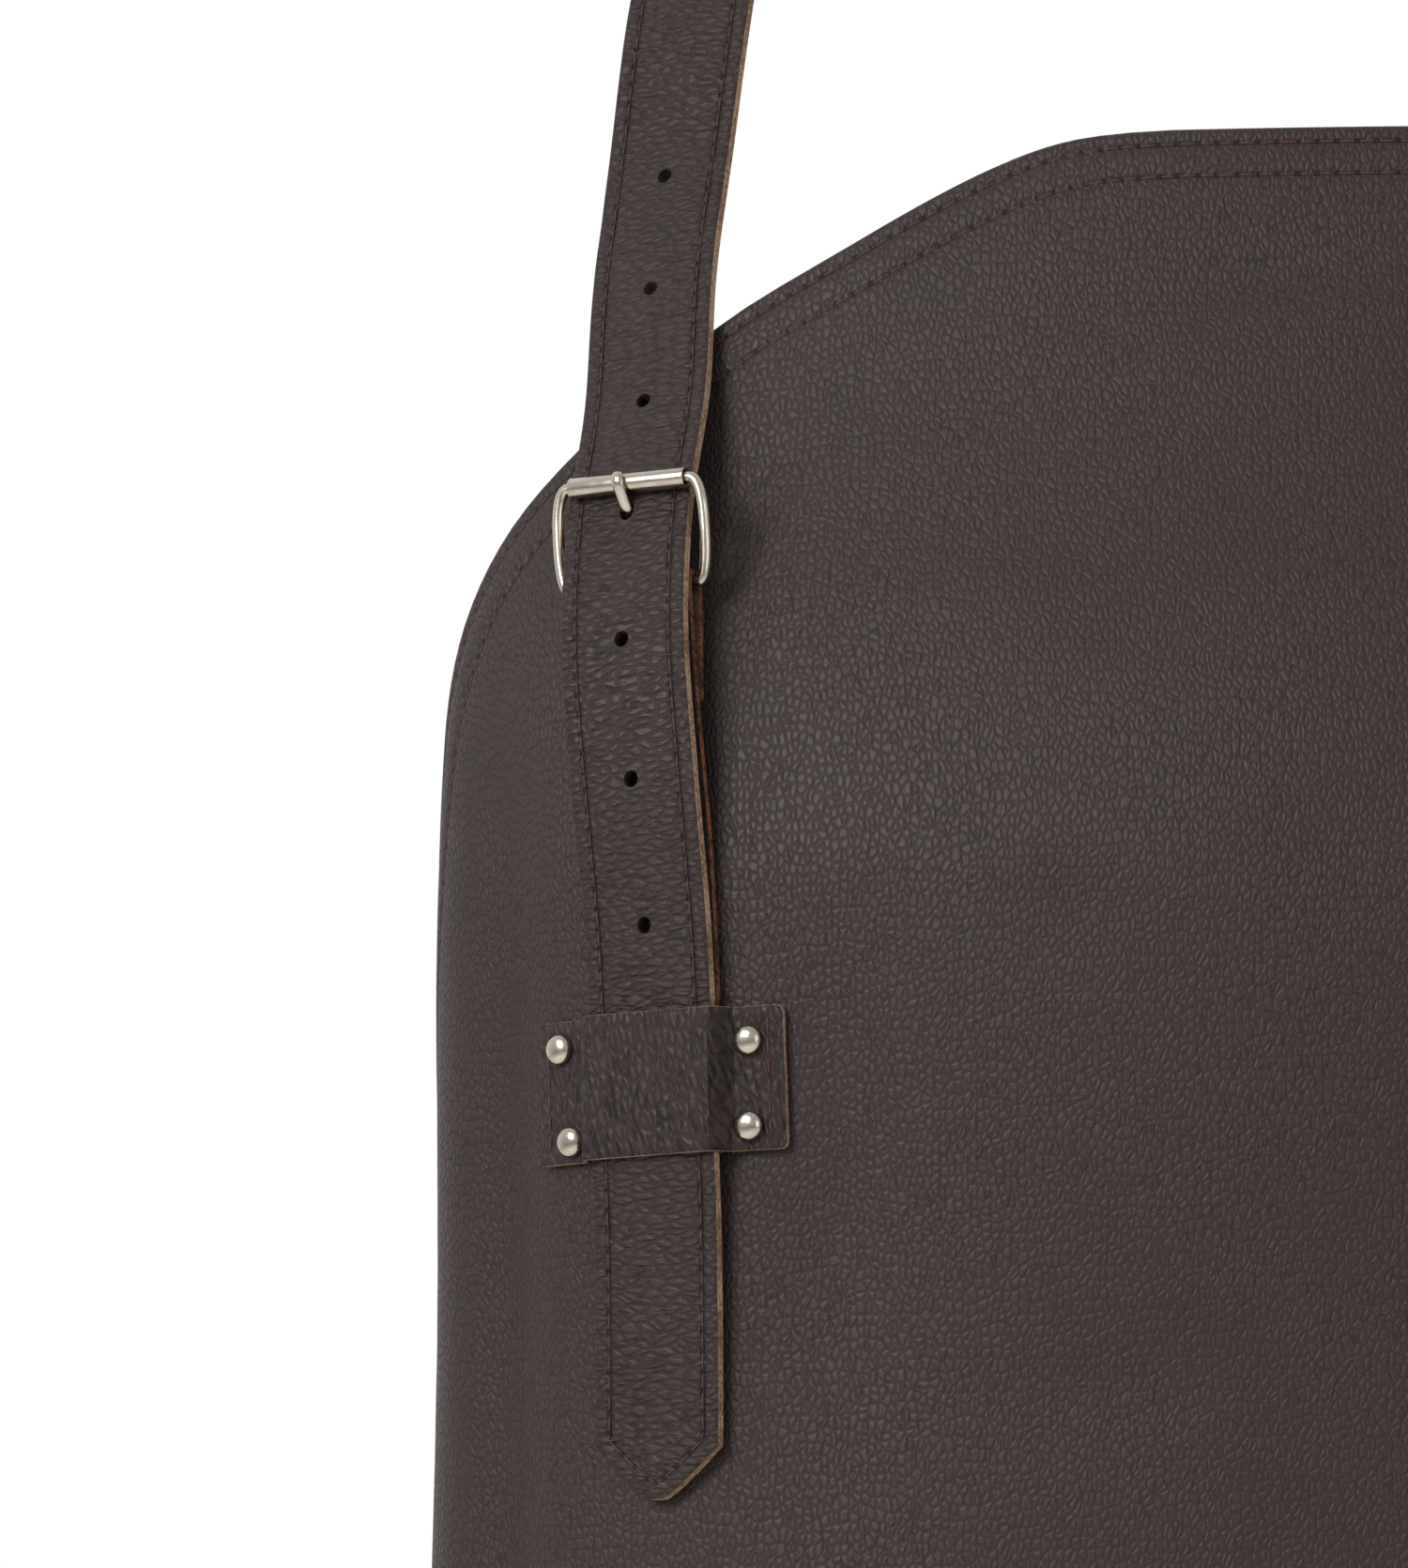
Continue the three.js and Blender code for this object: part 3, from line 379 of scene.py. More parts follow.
def linear_colour(text: str) -> tuple[float, float, float, float]:
    """Turns an sRGB hex colour to linear light."""
    parts = [int(text[k : k + 2], 16) / 255 for k in (1, 3, 5)]
    linear = [p / 12.92 if p <= 0.04045 else ((p + 0.055) / 1.055) ** 2.4 for p in parts]
    return (linear[0], linear[1], linear[2], 1.0)


def add_node(
    tree: bpy.types.NodeTree,
    kind: str,
    settings: dict[str, object] | None = None,
    inputs: dict[str | int, object] | None = None,
    output: str | None = None,
) -> bpy.types.NodeSocket | None:
    """Adds a node with its settings and links.

    Args:
        tree: Node tree that takes the node.
        kind: Blender's name of the node's type, without the words ShaderNode.
        settings: Values of the node's own fields.
        inputs: Values or sockets for its inputs, by name or by number.
        output: Name of the output to give; the first one in use where left out.

    Returns:
        The node's output, if it has one.
    """
    made = tree.nodes.new(f"ShaderNode{kind}")
    for name, value in (settings or {}).items():
        setattr(made, name, value)
    for name, value in (inputs or {}).items():
        if isinstance(value, bpy.types.NodeSocket):
            tree.links.new(value, made.inputs[name])
        else:
            made.inputs[name].default_value = value
    if output:
        return made.outputs[output]
    return next((socket for socket in made.outputs if socket.enabled), None)


# Settings of nodes: noise and cells on flat leather, an eased range, colours and arithmetic
FLAT = {"noise_dimensions": "2D"}
CELLS = {"voronoi_dimensions": "2D", "feature": "DISTANCE_TO_EDGE"}
EASED = {"interpolation_type": "SMOOTHSTEP"}
COLOURS = {"data_type": "RGBA"}
TIMES, PLUS, SCALED_PLUS, HIGHER = (
    {"operation": name} for name in ("MULTIPLY", "ADD", "MULTIPLY_ADD", "MAXIMUM")
)


def new_material(name: str) -> tuple[bpy.types.Material, bpy.types.NodeTree]:
    """Adds a material with an empty node tree."""
    made = bpy.data.materials.new(name)
    made.use_nodes = True
    made.node_tree.nodes.clear()
    return made, made.node_tree


def close_material(
    material: bpy.types.Material, inputs: dict[str | int, object]
) -> bpy.types.Material:
    """Ends a material in a Principled shader with these inputs."""
    tree = material.node_tree
    shader = add_node(tree, "BsdfPrincipled", {}, inputs)
    add_node(tree, "OutputMaterial", {}, {"Surface": shader})
    return material


@dataclass(frozen=True)
class StitchRows:
    """Stitch rows that run along a piece's edge, and the holes that they leave."""

    insets: tuple[float, ...] = ()
    pitch: float = STITCH_PITCH
    hole: tuple[float, float] = (0.55, 1.0)
    groove: float = 1.3

    def marks(self, tree: bpy.types.NodeTree) -> tuple[bpy.types.NodeSocket | float, ...]:
        """Draws the rows from the piece's seam map.

        Args:
            tree: Node tree of the leather.

        Returns:
            Shares from 0 to 1 of a hole and of the groove that the thread pulls in.
        """
        seam = add_node(tree, "UVMap", {"uv_map": SEAM_MAP})
        inside = add_node(tree, "SeparateXYZ", {}, {0: seam}, "X")
        run = add_node(tree, "SeparateXYZ", {}, {0: seam}, "Y")
        along = add_node(tree, "Math", {"operation": "PINGPONG"}, {0: run, 1: self.pitch * MM / 2})
        longer = add_node(tree, "Math", TIMES, {0: along, 1: 1 / (self.hole[1] * MM)})
        hole: object = 0.0
        groove: object = 0.0
        for inset in self.insets:
            across = add_node(tree, "Math", PLUS, {0: inside, 1: -inset * MM})
            wider = add_node(tree, "Math", TIMES, {0: across, 1: 1 / (self.hole[0] * MM)})
            spot = add_node(tree, "CombineXYZ", {}, {0: wider, 1: longer})
            reach = add_node(tree, "VectorMath", {"operation": "LENGTH"}, {0: spot}, "Value")
            near = add_node(tree, "MapRange", EASED, {0: reach, 1: 0.7, 2: 1.3, 3: 1.0, 4: 0.0})
            hole = add_node(tree, "Math", HIGHER, {0: hole, 1: near})
            away = add_node(tree, "Math", {"operation": "ABSOLUTE"}, {0: across})
            sunk = add_node(
                tree, "MapRange", EASED, {0: away, 1: 0.0, 2: self.groove * MM, 3: 1.0, 4: 0.0}
            )
            groove = add_node(tree, "Math", HIGHER, {0: groove, 1: sunk})
        return hole, groove


@dataclass(frozen=True)
class GrainLeather:
    """Full-grain cowhide, drum-dyed dark brown and lightly waxed.

    The eye sees a soft low grain with a dull waxy shine, short wrinkles that all run one
    way, and a slow drift in tone from the dye. The wrinkles, the gaps between the pebbles
    and the stitch grooves and holes are darkened with painted shade, and the tops of the
    fine pores are lightened with a painted highlight. Sizes are in millimetres, across and
    along.
    """

    name: str
    base: str = "#2a201e"
    deep: str = "#160f0d"
    painted_highlight: str = "#4a3d38"
    pebble: tuple[float, float] = (1.7, 2.6)
    wrinkle: tuple[float, float] = (1.3, 3.6)
    turn: float = 0.0
    relief: float = 0.14
    wrinkles: float = 0.55
    sparse: float = 0.52
    roughness: float = 0.56
    rows: StitchRows = StitchRows()

    def material(self) -> bpy.types.Material:
        """Builds the leather.

        Returns:
            A material that reads the piece's grain map, in metres of cut leather.
        """
        made, tree = new_material(self.name)
        flat = add_node(tree, "UVMap", {"uv_map": GRAIN_MAP})
        # The grain sways by some 1 mm over 14 mm.
        sway = add_node(
            tree, "TexNoise", FLAT, {"Vector": flat, "Scale": 1 / (14 * MM), "Detail": 2.0}, "Color"
        )
        swayed = add_node(
            tree, "VectorMath", SCALED_PLUS, {0: sway, 1: (2.4 * MM, 2.4 * MM, 0.0), 2: flat}
        )
        turned = add_node(
            tree, "Mapping", {}, {"Vector": swayed, "Rotation": (0.0, 0.0, math.radians(self.turn))}
        )
        # Grain, wrinkles, pores of half a millimetre, and the tone's drift over some 45 mm
        layers = []
        for kind, settings, size, detail in (
            ("TexVoronoi", CELLS, self.pebble, None),
            ("TexNoise", FLAT, self.wrinkle, 1.0),
            ("TexNoise", FLAT, (0.5, 0.5), 2.0),
            ("TexNoise", FLAT, (45.0, 45.0), 3.0),
        ):
            scale = (1 / (size[0] * MM), 1 / (size[1] * MM), 1.0)
            scaled = add_node(tree, "Mapping", {}, {"Vector": turned, "Scale": scale})
            drawn = {"Vector": scaled, "Scale": 1.0}
            if detail:
                drawn["Detail"] = detail
            layers.append(add_node(tree, kind, settings, drawn))
        distance, folds, pores, drift = layers
        grain = add_node(tree, "MapRange", EASED, {0: distance, 1: 0.0, 2: 0.32})
        amount = add_node(tree, "MapRange", EASED, {0: drift, 1: 0.36, 2: 0.62, 3: 0.45, 4: 1.0})
        fold = add_node(
            tree,
            "MapRange",
            EASED,
            {0: folds, 1: self.sparse, 2: self.sparse + 0.16, 3: 0.0, 4: 1.0},
        )
        fold = add_node(tree, "Math", TIMES, {0: fold, 1: amount})
        height = add_node(tree, "Math", SCALED_PLUS, {0: pores, 1: 0.12, 2: grain})
        height = add_node(tree, "Math", SCALED_PLUS, {0: fold, 1: -self.wrinkles, 2: height})
        hole, groove = self.rows.marks(tree)
        height = add_node(tree, "Math", SCALED_PLUS, {0: groove, 1: -0.35, 2: height})
        height = add_node(tree, "Math", SCALED_PLUS, {0: hole, 1: -0.8, 2: height})
        bump = add_node(
            tree, "Bump", {}, {"Distance": self.relief * MM, "Height": height}
        )
        shade = add_node(tree, "MapRange", EASED, {0: drift, 1: 0.25, 2: 0.6, 3: 0.3, 4: 0.0})
        # Painted shade: the gaps between the pebbles are darkened towards the deep colour.
        gap = add_node(tree, "MapRange", EASED, {0: distance, 1: 0.0, 2: 0.14, 3: 0.55, 4: 0.0})
        gap = add_node(tree, "Math", TIMES, {0: gap, 1: amount})
        # Painted highlight: the tops of the fine pores are mixed towards the lighter highlight
        # colour.
        top = add_node(tree, "MapRange", EASED, {0: pores, 1: 0.45, 2: 0.8, 3: 0.0, 4: 0.25})
        # Painted shade along the wrinkles, towards the deep colour.
        line = add_node(tree, "Math", TIMES, {0: fold, 1: min(1.0, 0.9 * self.wrinkles)})
        # Painted shade in the groove that the thread pulls in.
        sewn = add_node(tree, "Math", TIMES, {0: groove, 1: 0.3})
        # Colour mixes in turn: the dye's slow tone drift, a painted highlight on the pore tops,
        # painted shade in the pebble gaps, wrinkles and stitch grooves, and near-black painted shade
        # in the stitch holes.
        colour: object = linear_colour(self.base)
        for share, other in (
            (shade, self.deep), (top, self.painted_highlight), (gap, self.deep), (line, self.deep),
            (sewn, self.deep), (hole, "#050202"),
        ):
            mix = {0: share, 6: colour, 7: linear_colour(other)}
            colour = add_node(tree, "Mix", COLOURS, mix)
        low, high = self.roughness + 0.1, self.roughness - 0.06
        gloss = add_node(tree, "MapRange", EASED, {0: grain, 1: 0.3, 2: 0.7, 3: low, 4: high})
        return close_material(
            made,
            {
                "Base Color": colour,
                "Roughness": gloss,
                "IOR": 1.5,
                "Specular IOR Level": 0.25,
                "Normal": bump,
            },
        )


@dataclass(frozen=True)
class FibreLeather:
    """Undyed or flesh-side leather, cut or split so that its loose fibres show matt."""

    name: str
    light: str
    dark: str
    fibre: float = 0.5

    def material(self) -> bpy.types.Material:
        """Builds the matt fibres, a millimetre long, and patches of some 11 mm."""
        made, tree = new_material(self.name)
        place = add_node(tree, "TexCoord", {}, {}, "Object")
        fibres = add_node(
            tree, "TexNoise", {}, {"Vector": place, "Scale": 1 / (2 * self.fibre * MM), "Detail": 4.0}
        )
        patches = add_node(
            tree, "TexNoise", {}, {"Vector": place, "Scale": 1 / (11 * MM), "Detail": 2.0}
        )
        both = add_node(tree, "Math", SCALED_PLUS, {0: patches, 1: 0.6, 2: fibres})
        share = add_node(tree, "MapRange", EASED, {0: both, 1: 0.6, 2: 1.0})
        mix = {0: share, 6: linear_colour(self.dark), 7: linear_colour(self.light)}
        colour = add_node(tree, "Mix", COLOURS, mix)
        bump = add_node(tree, "Bump", {}, {"Distance": 0.2 * MM, "Height": fibres})
        matt = {"Roughness": 0.92, "Specular IOR Level": 0.25}
        return close_material(made, {"Base Color": colour, "Normal": bump, **matt})


@dataclass(frozen=True)
class WaxedThread:
    """Waxed polyester thread, dark red and softly lit by its twist of half a millimetre."""

    name: str = "waxed_polyester_thread"
    colour: str = "#261211"
    lit: str = "#4e2523"

    def material(self) -> bpy.types.Material:
        """Builds the thread."""
        made, tree = new_material(self.name)
        place = add_node(tree, "TexCoord", {}, {}, "Object")
        twist = add_node(
            tree, "TexNoise", {}, {"Vector": place, "Scale": 1 / (0.5 * MM), "Detail": 1.0}
        )
        mix = {0: twist, 6: linear_colour(self.colour), 7: linear_colour(self.lit)}
        colour = add_node(tree, "Mix", COLOURS, mix)
        bump = add_node(tree, "Bump", {}, {"Distance": 0.08 * MM, "Height": twist})
        return close_material(made, {"Base Color": colour, "Roughness": 0.75, "Normal": bump})


@dataclass(frozen=True)
class PolishedNickel:
    """Nickel plate over steel, tumbled bright, hazed from handling in patches of some 4 mm."""

    name: str = "polished_nickel_plate"
    colour: str = "#c6beb1"
    haze: str = "#a39a8c"

    def material(self) -> bpy.types.Material:
        """Builds the plating."""
        made, tree = new_material(self.name)
        place = add_node(tree, "TexCoord", {}, {}, "Object")
        patches = add_node(
            tree, "TexNoise", {}, {"Vector": place, "Scale": 1 / (4 * MM), "Detail": 4.0}
        )
        mix = {0: patches, 6: linear_colour(self.haze), 7: linear_colour(self.colour)}
        colour = add_node(tree, "Mix", COLOURS, mix)
        gloss = add_node(tree, "MapRange", EASED, {0: patches, 1: 0.3, 2: 0.7, 3: 0.26, 4: 0.14})
        return close_material(made, {"Base Color": colour, "Metallic": 1.0, "Roughness": gloss})


class Finishes:
    """All the finishes, each made once."""

    def __init__(self) -> None:
        """Makes the materials."""
        self.bib_grain = GrainLeather(
            "pebbled_waxed_cowhide", rows=StitchRows(insets=(4.0, 12.0))
        ).material()
        self.strap_grain = GrainLeather(
            "creased_waxed_cowhide",
            base="#271c1a",
            pebble=(4.2, 1.9),
            wrinkle=(6.0, 1.2),
            relief=0.27,
            wrinkles=0.8,
            sparse=0.54,
            rows=StitchRows(insets=(3.8,)),
        ).material()
        self.under_grain = GrainLeather("soft_waxed_cowhide").material()
        self.patch_grain = GrainLeather(
            "folded_waxed_cowhide",
            base="#281e1b",
            pebble=(1.7, 4.2),
            wrinkle=(1.5, 8.0),
            turn=12.0,
            relief=0.3,
            wrinkles=0.95,
        ).material()
        self.flesh = FibreLeather(
            "dyed_suede_flesh_side", light="#5a463b", dark="#3f2f28"
        ).material()
        self.raw = FibreLeather("raw_cut_leather_edge", light="#a08670", dark="#6b5040").material()
        self.dark_edge = FibreLeather(
            "waxed_cut_leather_edge", light="#75492f", dark="#2b1b14"
        ).material()
        # Painted shade: the walls of the punched holes and the slot are the same cut leather as the
        # pale edge, painted near black as the shade inside them.
        self.shaded_hole_lining = FibreLeather("painted_shade_hole_lining", light="#3a281f", dark="#120b09").material()
        self.thread = WaxedThread().material()
        self.nickel = PolishedNickel().material()


def deselect_all() -> None:
    """Leaves edit mode if it is on, and deselects every object."""
    if bpy.context.mode != "OBJECT":
        bpy.ops.object.mode_set(mode="OBJECT")
    bpy.ops.object.select_all(action="DESELECT")


def take_hold(piece: bpy.types.Object) -> None:
    """Makes one piece the only selected and the active one."""
    deselect_all()
    piece.select_set(True)
    bpy.context.view_layer.objects.active = piece


def dress(piece: bpy.types.Object, *materials: bpy.types.Material) -> None:
    """Gives a piece its materials, in the order of its faces' numbers."""
    numbers = np.zeros(len(piece.data.polygons), dtype=np.int32)
    piece.data.polygons.foreach_get("material_index", numbers)
    piece.data.materials.clear()
    for material in materials:
        piece.data.materials.append(material)
    piece.data.polygons.foreach_set("material_index", numbers)


def settle(piece: bpy.types.Object, slot: str, *nodes: str) -> bpy.types.Object:
    """Seats a finished piece on the frame.

    Args:
        piece: The finished piece.
        slot: Name of a material slot; not used.
        nodes: Nodes that the piece stands for.

    Returns:
        The same piece.
    """
    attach(piece, ROOT)
    if nodes:
        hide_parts(*nodes)
    LOG.info("%s: %d faces", piece.name, len(piece.data.polygons))
    return piece


def object_from(
    name: str, points: np.ndarray, faces: np.ndarray, side: Side = Side.RIGHT
) -> bpy.types.Object:
    """Makes an object from points in millimetres and four-cornered faces.

    Args:
        name: Name of the object and its mesh.
        points: One row for each vertex.
        faces: One row of four vertex numbers for each face.
        side: The left-hand side is the mirror image of the right-hand one.

    Returns:
        The new object, at the origin, with its faces pointing outwards.
    """
    placed = points * MM
    if side is Side.LEFT:
        placed = placed * np.array([-1.0, 1.0, 1.0])
    a, b, c, d = (placed[faces[:, k]] for k in range(4))
    volume = np.sum(a * np.cross(b, c)) + np.sum(a * np.cross(c, d))
    turned = faces if volume > 0 else faces[:, ::-1]
    mesh = bpy.data.meshes.new(name)
    mesh.from_pydata(placed.tolist(), [], turned.tolist())
    mesh.update()
    made = bpy.data.objects.new(name, mesh)
    bpy.context.scene.collection.objects.link(made)
    return made


def cut_away(piece: bpy.types.Object, tool: bpy.types.Object, wall: bpy.types.Material) -> None:
    """Cuts a closed tool out of a piece and lines the cut with the wall's material."""
    take_hold(tool)
    bpy.ops.object.transform_apply(location=True, rotation=True, scale=True)
    bpy.ops.object.mode_set(mode="EDIT")
    bpy.ops.mesh.select_all(action="SELECT")
    bpy.ops.mesh.normals_make_consistent(inside=False)
    bpy.ops.object.mode_set(mode="OBJECT")
    dress(tool, wall)
    take_hold(piece)
    cut = piece.modifiers.new("cut", "BOOLEAN")
    cut.operation = "DIFFERENCE"
    cut.solver = "EXACT"
    cut.material_mode = "TRANSFER"
    cut.object = tool
    bpy.ops.object.modifier_apply(modifier=cut.name)
    bpy.data.objects.remove(tool, do_unlink=True)
    bpy.ops.object.shade_smooth_by_angle(angle=math.radians(42))


def write_map(piece: bpy.types.Object, name: str, values: np.ndarray) -> None:
    """Writes a UV map in metres from one value a vertex, given in millimetres."""
    mesh = piece.data
    corners = np.empty(len(mesh.loops), np.int32)
    mesh.loops.foreach_get("vertex_index", corners)
    layer = mesh.uv_layers.new(name=name)
    layer.data.foreach_set("uv", (values[corners] * MM).astype(np.float32).ravel())


@dataclass
class CutLeather:
    """A cut piece of leather as two grids of points, one for each face, and a rim between."""

    name: str
    outer: np.ndarray
    inner: np.ndarray
    flat: np.ndarray
    seam: np.ndarray
    rim: tuple[tuple[float, float], ...] = ((0.2, 0.12), (0.8, 0.12))
    side: Side = Side.RIGHT

    def build(
        self, inner_choice: np.ndarray | None = None, rim_choice: int = 2
    ) -> bpy.types.Object:
        """Builds the closed mesh with its grain and seam maps.

        Args:
            inner_choice: Material numbers of the inner face's cells; 1 where left out.
            rim_choice: Material number of the rim.

        Returns:
            The new object.
        """
        rows, columns = self.outer.shape[:2]
        grid = np.arange(rows * columns).reshape(rows, columns)
        cells = np.stack(
            [grid[:-1, :-1], grid[1:, :-1], grid[1:, 1:], grid[:-1, 1:]], axis=-1
        ).reshape(-1, 4)
        edge = self.edge_of(grid)
        inside = self.edge_of(self.one_step_in(grid))
        points = [self.outer.reshape(-1, 3), self.inner.reshape(-1, 3)]
        outer_edge, inner_edge = points[0][edge], points[1][edge]
        outward = unit(outer_edge - points[0][inside])
        loops = [edge]
        for share, bulge in self.rim:
            loops.append(2 * rows * columns + (len(loops) - 1) * len(edge) + np.arange(len(edge)))
            points.append(outer_edge + share * (inner_edge - outer_edge) + bulge * outward)
        loops.append(edge + rows * columns)
        rim = [
            np.stack([np.roll(here, -1), here, below, np.roll(below, -1)], axis=-1)
            for here, below in zip(loops[:-1], loops[1:])
        ]
        faces = np.concatenate([cells, cells[:, ::-1] + rows * columns, *rim])
        made = object_from(self.name, np.vstack(points), faces, self.side)
        for name, values in ((GRAIN_MAP, self.flat), (SEAM_MAP, self.seam)):
            loose = values.reshape(-1, 2)
            write_map(made, name, np.vstack([loose, loose] + [loose[edge]] * len(self.rim)))
        under = np.ones(len(cells), int) if inner_choice is None else inner_choice.ravel()
        count = len(faces) - 2 * len(cells)
        choice = np.concatenate([np.zeros(len(cells), int), under, np.full(count, rim_choice)])
        made.data.polygons.foreach_set("material_index", choice.astype(np.int32))
        made.data.polygons.foreach_set("use_smooth", np.ones(len(faces), bool))
        return made

    @staticmethod
    def edge_of(grid: np.ndarray) -> np.ndarray:
        """Vertex numbers round the edge of a grid, against its rows' direction of turning."""
        return np.concatenate([grid[:-1, 0], grid[-1, :-1], grid[:0:-1, -1], grid[0, :0:-1]])

    @staticmethod
    def one_step_in(grid: np.ndarray) -> np.ndarray:
        """The same grid with each edge vertex's number swapped for its inner neighbour's."""
        moved = grid.copy()
        moved[0, :] = grid[1, :]
        moved[-1, :] = grid[-2, :]
        moved[:, 0] = moved[:, 1]
        moved[:, -1] = moved[:, -2]
        return moved


@dataclass(frozen=True)
class Stitching:
    """Rows of thread, each stitch a small bead of thread that dips into a hole at both ends."""

    thread: float = 0.54
    sides: int = 6
    lengthwise: tuple[float, ...] = (0.06, 0.2, 0.5, 0.8, 0.94)
    girths: tuple[float, ...] = (0.3, 0.95, 1.0, 0.95, 0.3)
    heights: tuple[float, ...] = (-0.9, 0.0, 0.22, 0.0, -0.9)

    def build(
        self, name: str, holes: np.ndarray, out: np.ndarray, side: Side = Side.RIGHT
    ) -> bpy.types.Object:
        """Builds the stitches between neighbouring holes.

        Args:
            name: Name of the new object.
            holes: Places of the holes in order; a not-a-number row breaks the seam.
            out: Outward direction at each hole.
            side: Side that the piece is on.

        Returns:
            One object that holds every stitch.
        """
        keep = ~(np.isnan(holes[:-1]).any(axis=1) | np.isnan(holes[1:]).any(axis=1))
        start, end, up = holes[:-1][keep], holes[1:][keep], out[:-1][keep]
        along = unit(end - start)
        across = unit(np.cross(along, up))
        up = np.cross(across, along)
        angle = np.arange(self.sides) * 2 * math.pi / self.sides
        rings = []
        for share, girth, height in zip(self.lengthwise, self.girths, self.heights):
            middle = start + share * (end - start) + height * self.thread / 2 * up
            ring = (
                middle[:, None]
                + girth * self.thread / 2 * np.cos(angle)[None, :, None] * across[:, None]
                + girth * self.thread / 2 * np.sin(angle)[None, :, None] * up[:, None]
            )
            rings.append(ring)
        points = np.stack(rings, axis=1)
        count, lengths, sides = points.shape[:3]
        number = np.arange(count * lengths * sides).reshape(count, lengths, sides)
        ahead = np.roll(number, -1, axis=2)
        skin = np.stack([number[:, :-1], ahead[:, :-1], ahead[:, 1:], number[:, 1:]], axis=-1)
        ends = [
            np.stack([number[:, e, [0, 3]], number[:, e, [1, 4]], number[:, e, [2, 5]],
                      number[:, e, [3, 0]]], axis=-1)[..., ::turn]
            for e, turn in ((0, -1), (-1, 1))
        ]
        faces = np.concatenate([part.reshape(-1, 4) for part in (skin, *ends)])
        made = object_from(name, points.reshape(-1, 3), faces, side)
        made.data.polygons.foreach_set("use_smooth", np.ones(len(faces), bool))
        return made


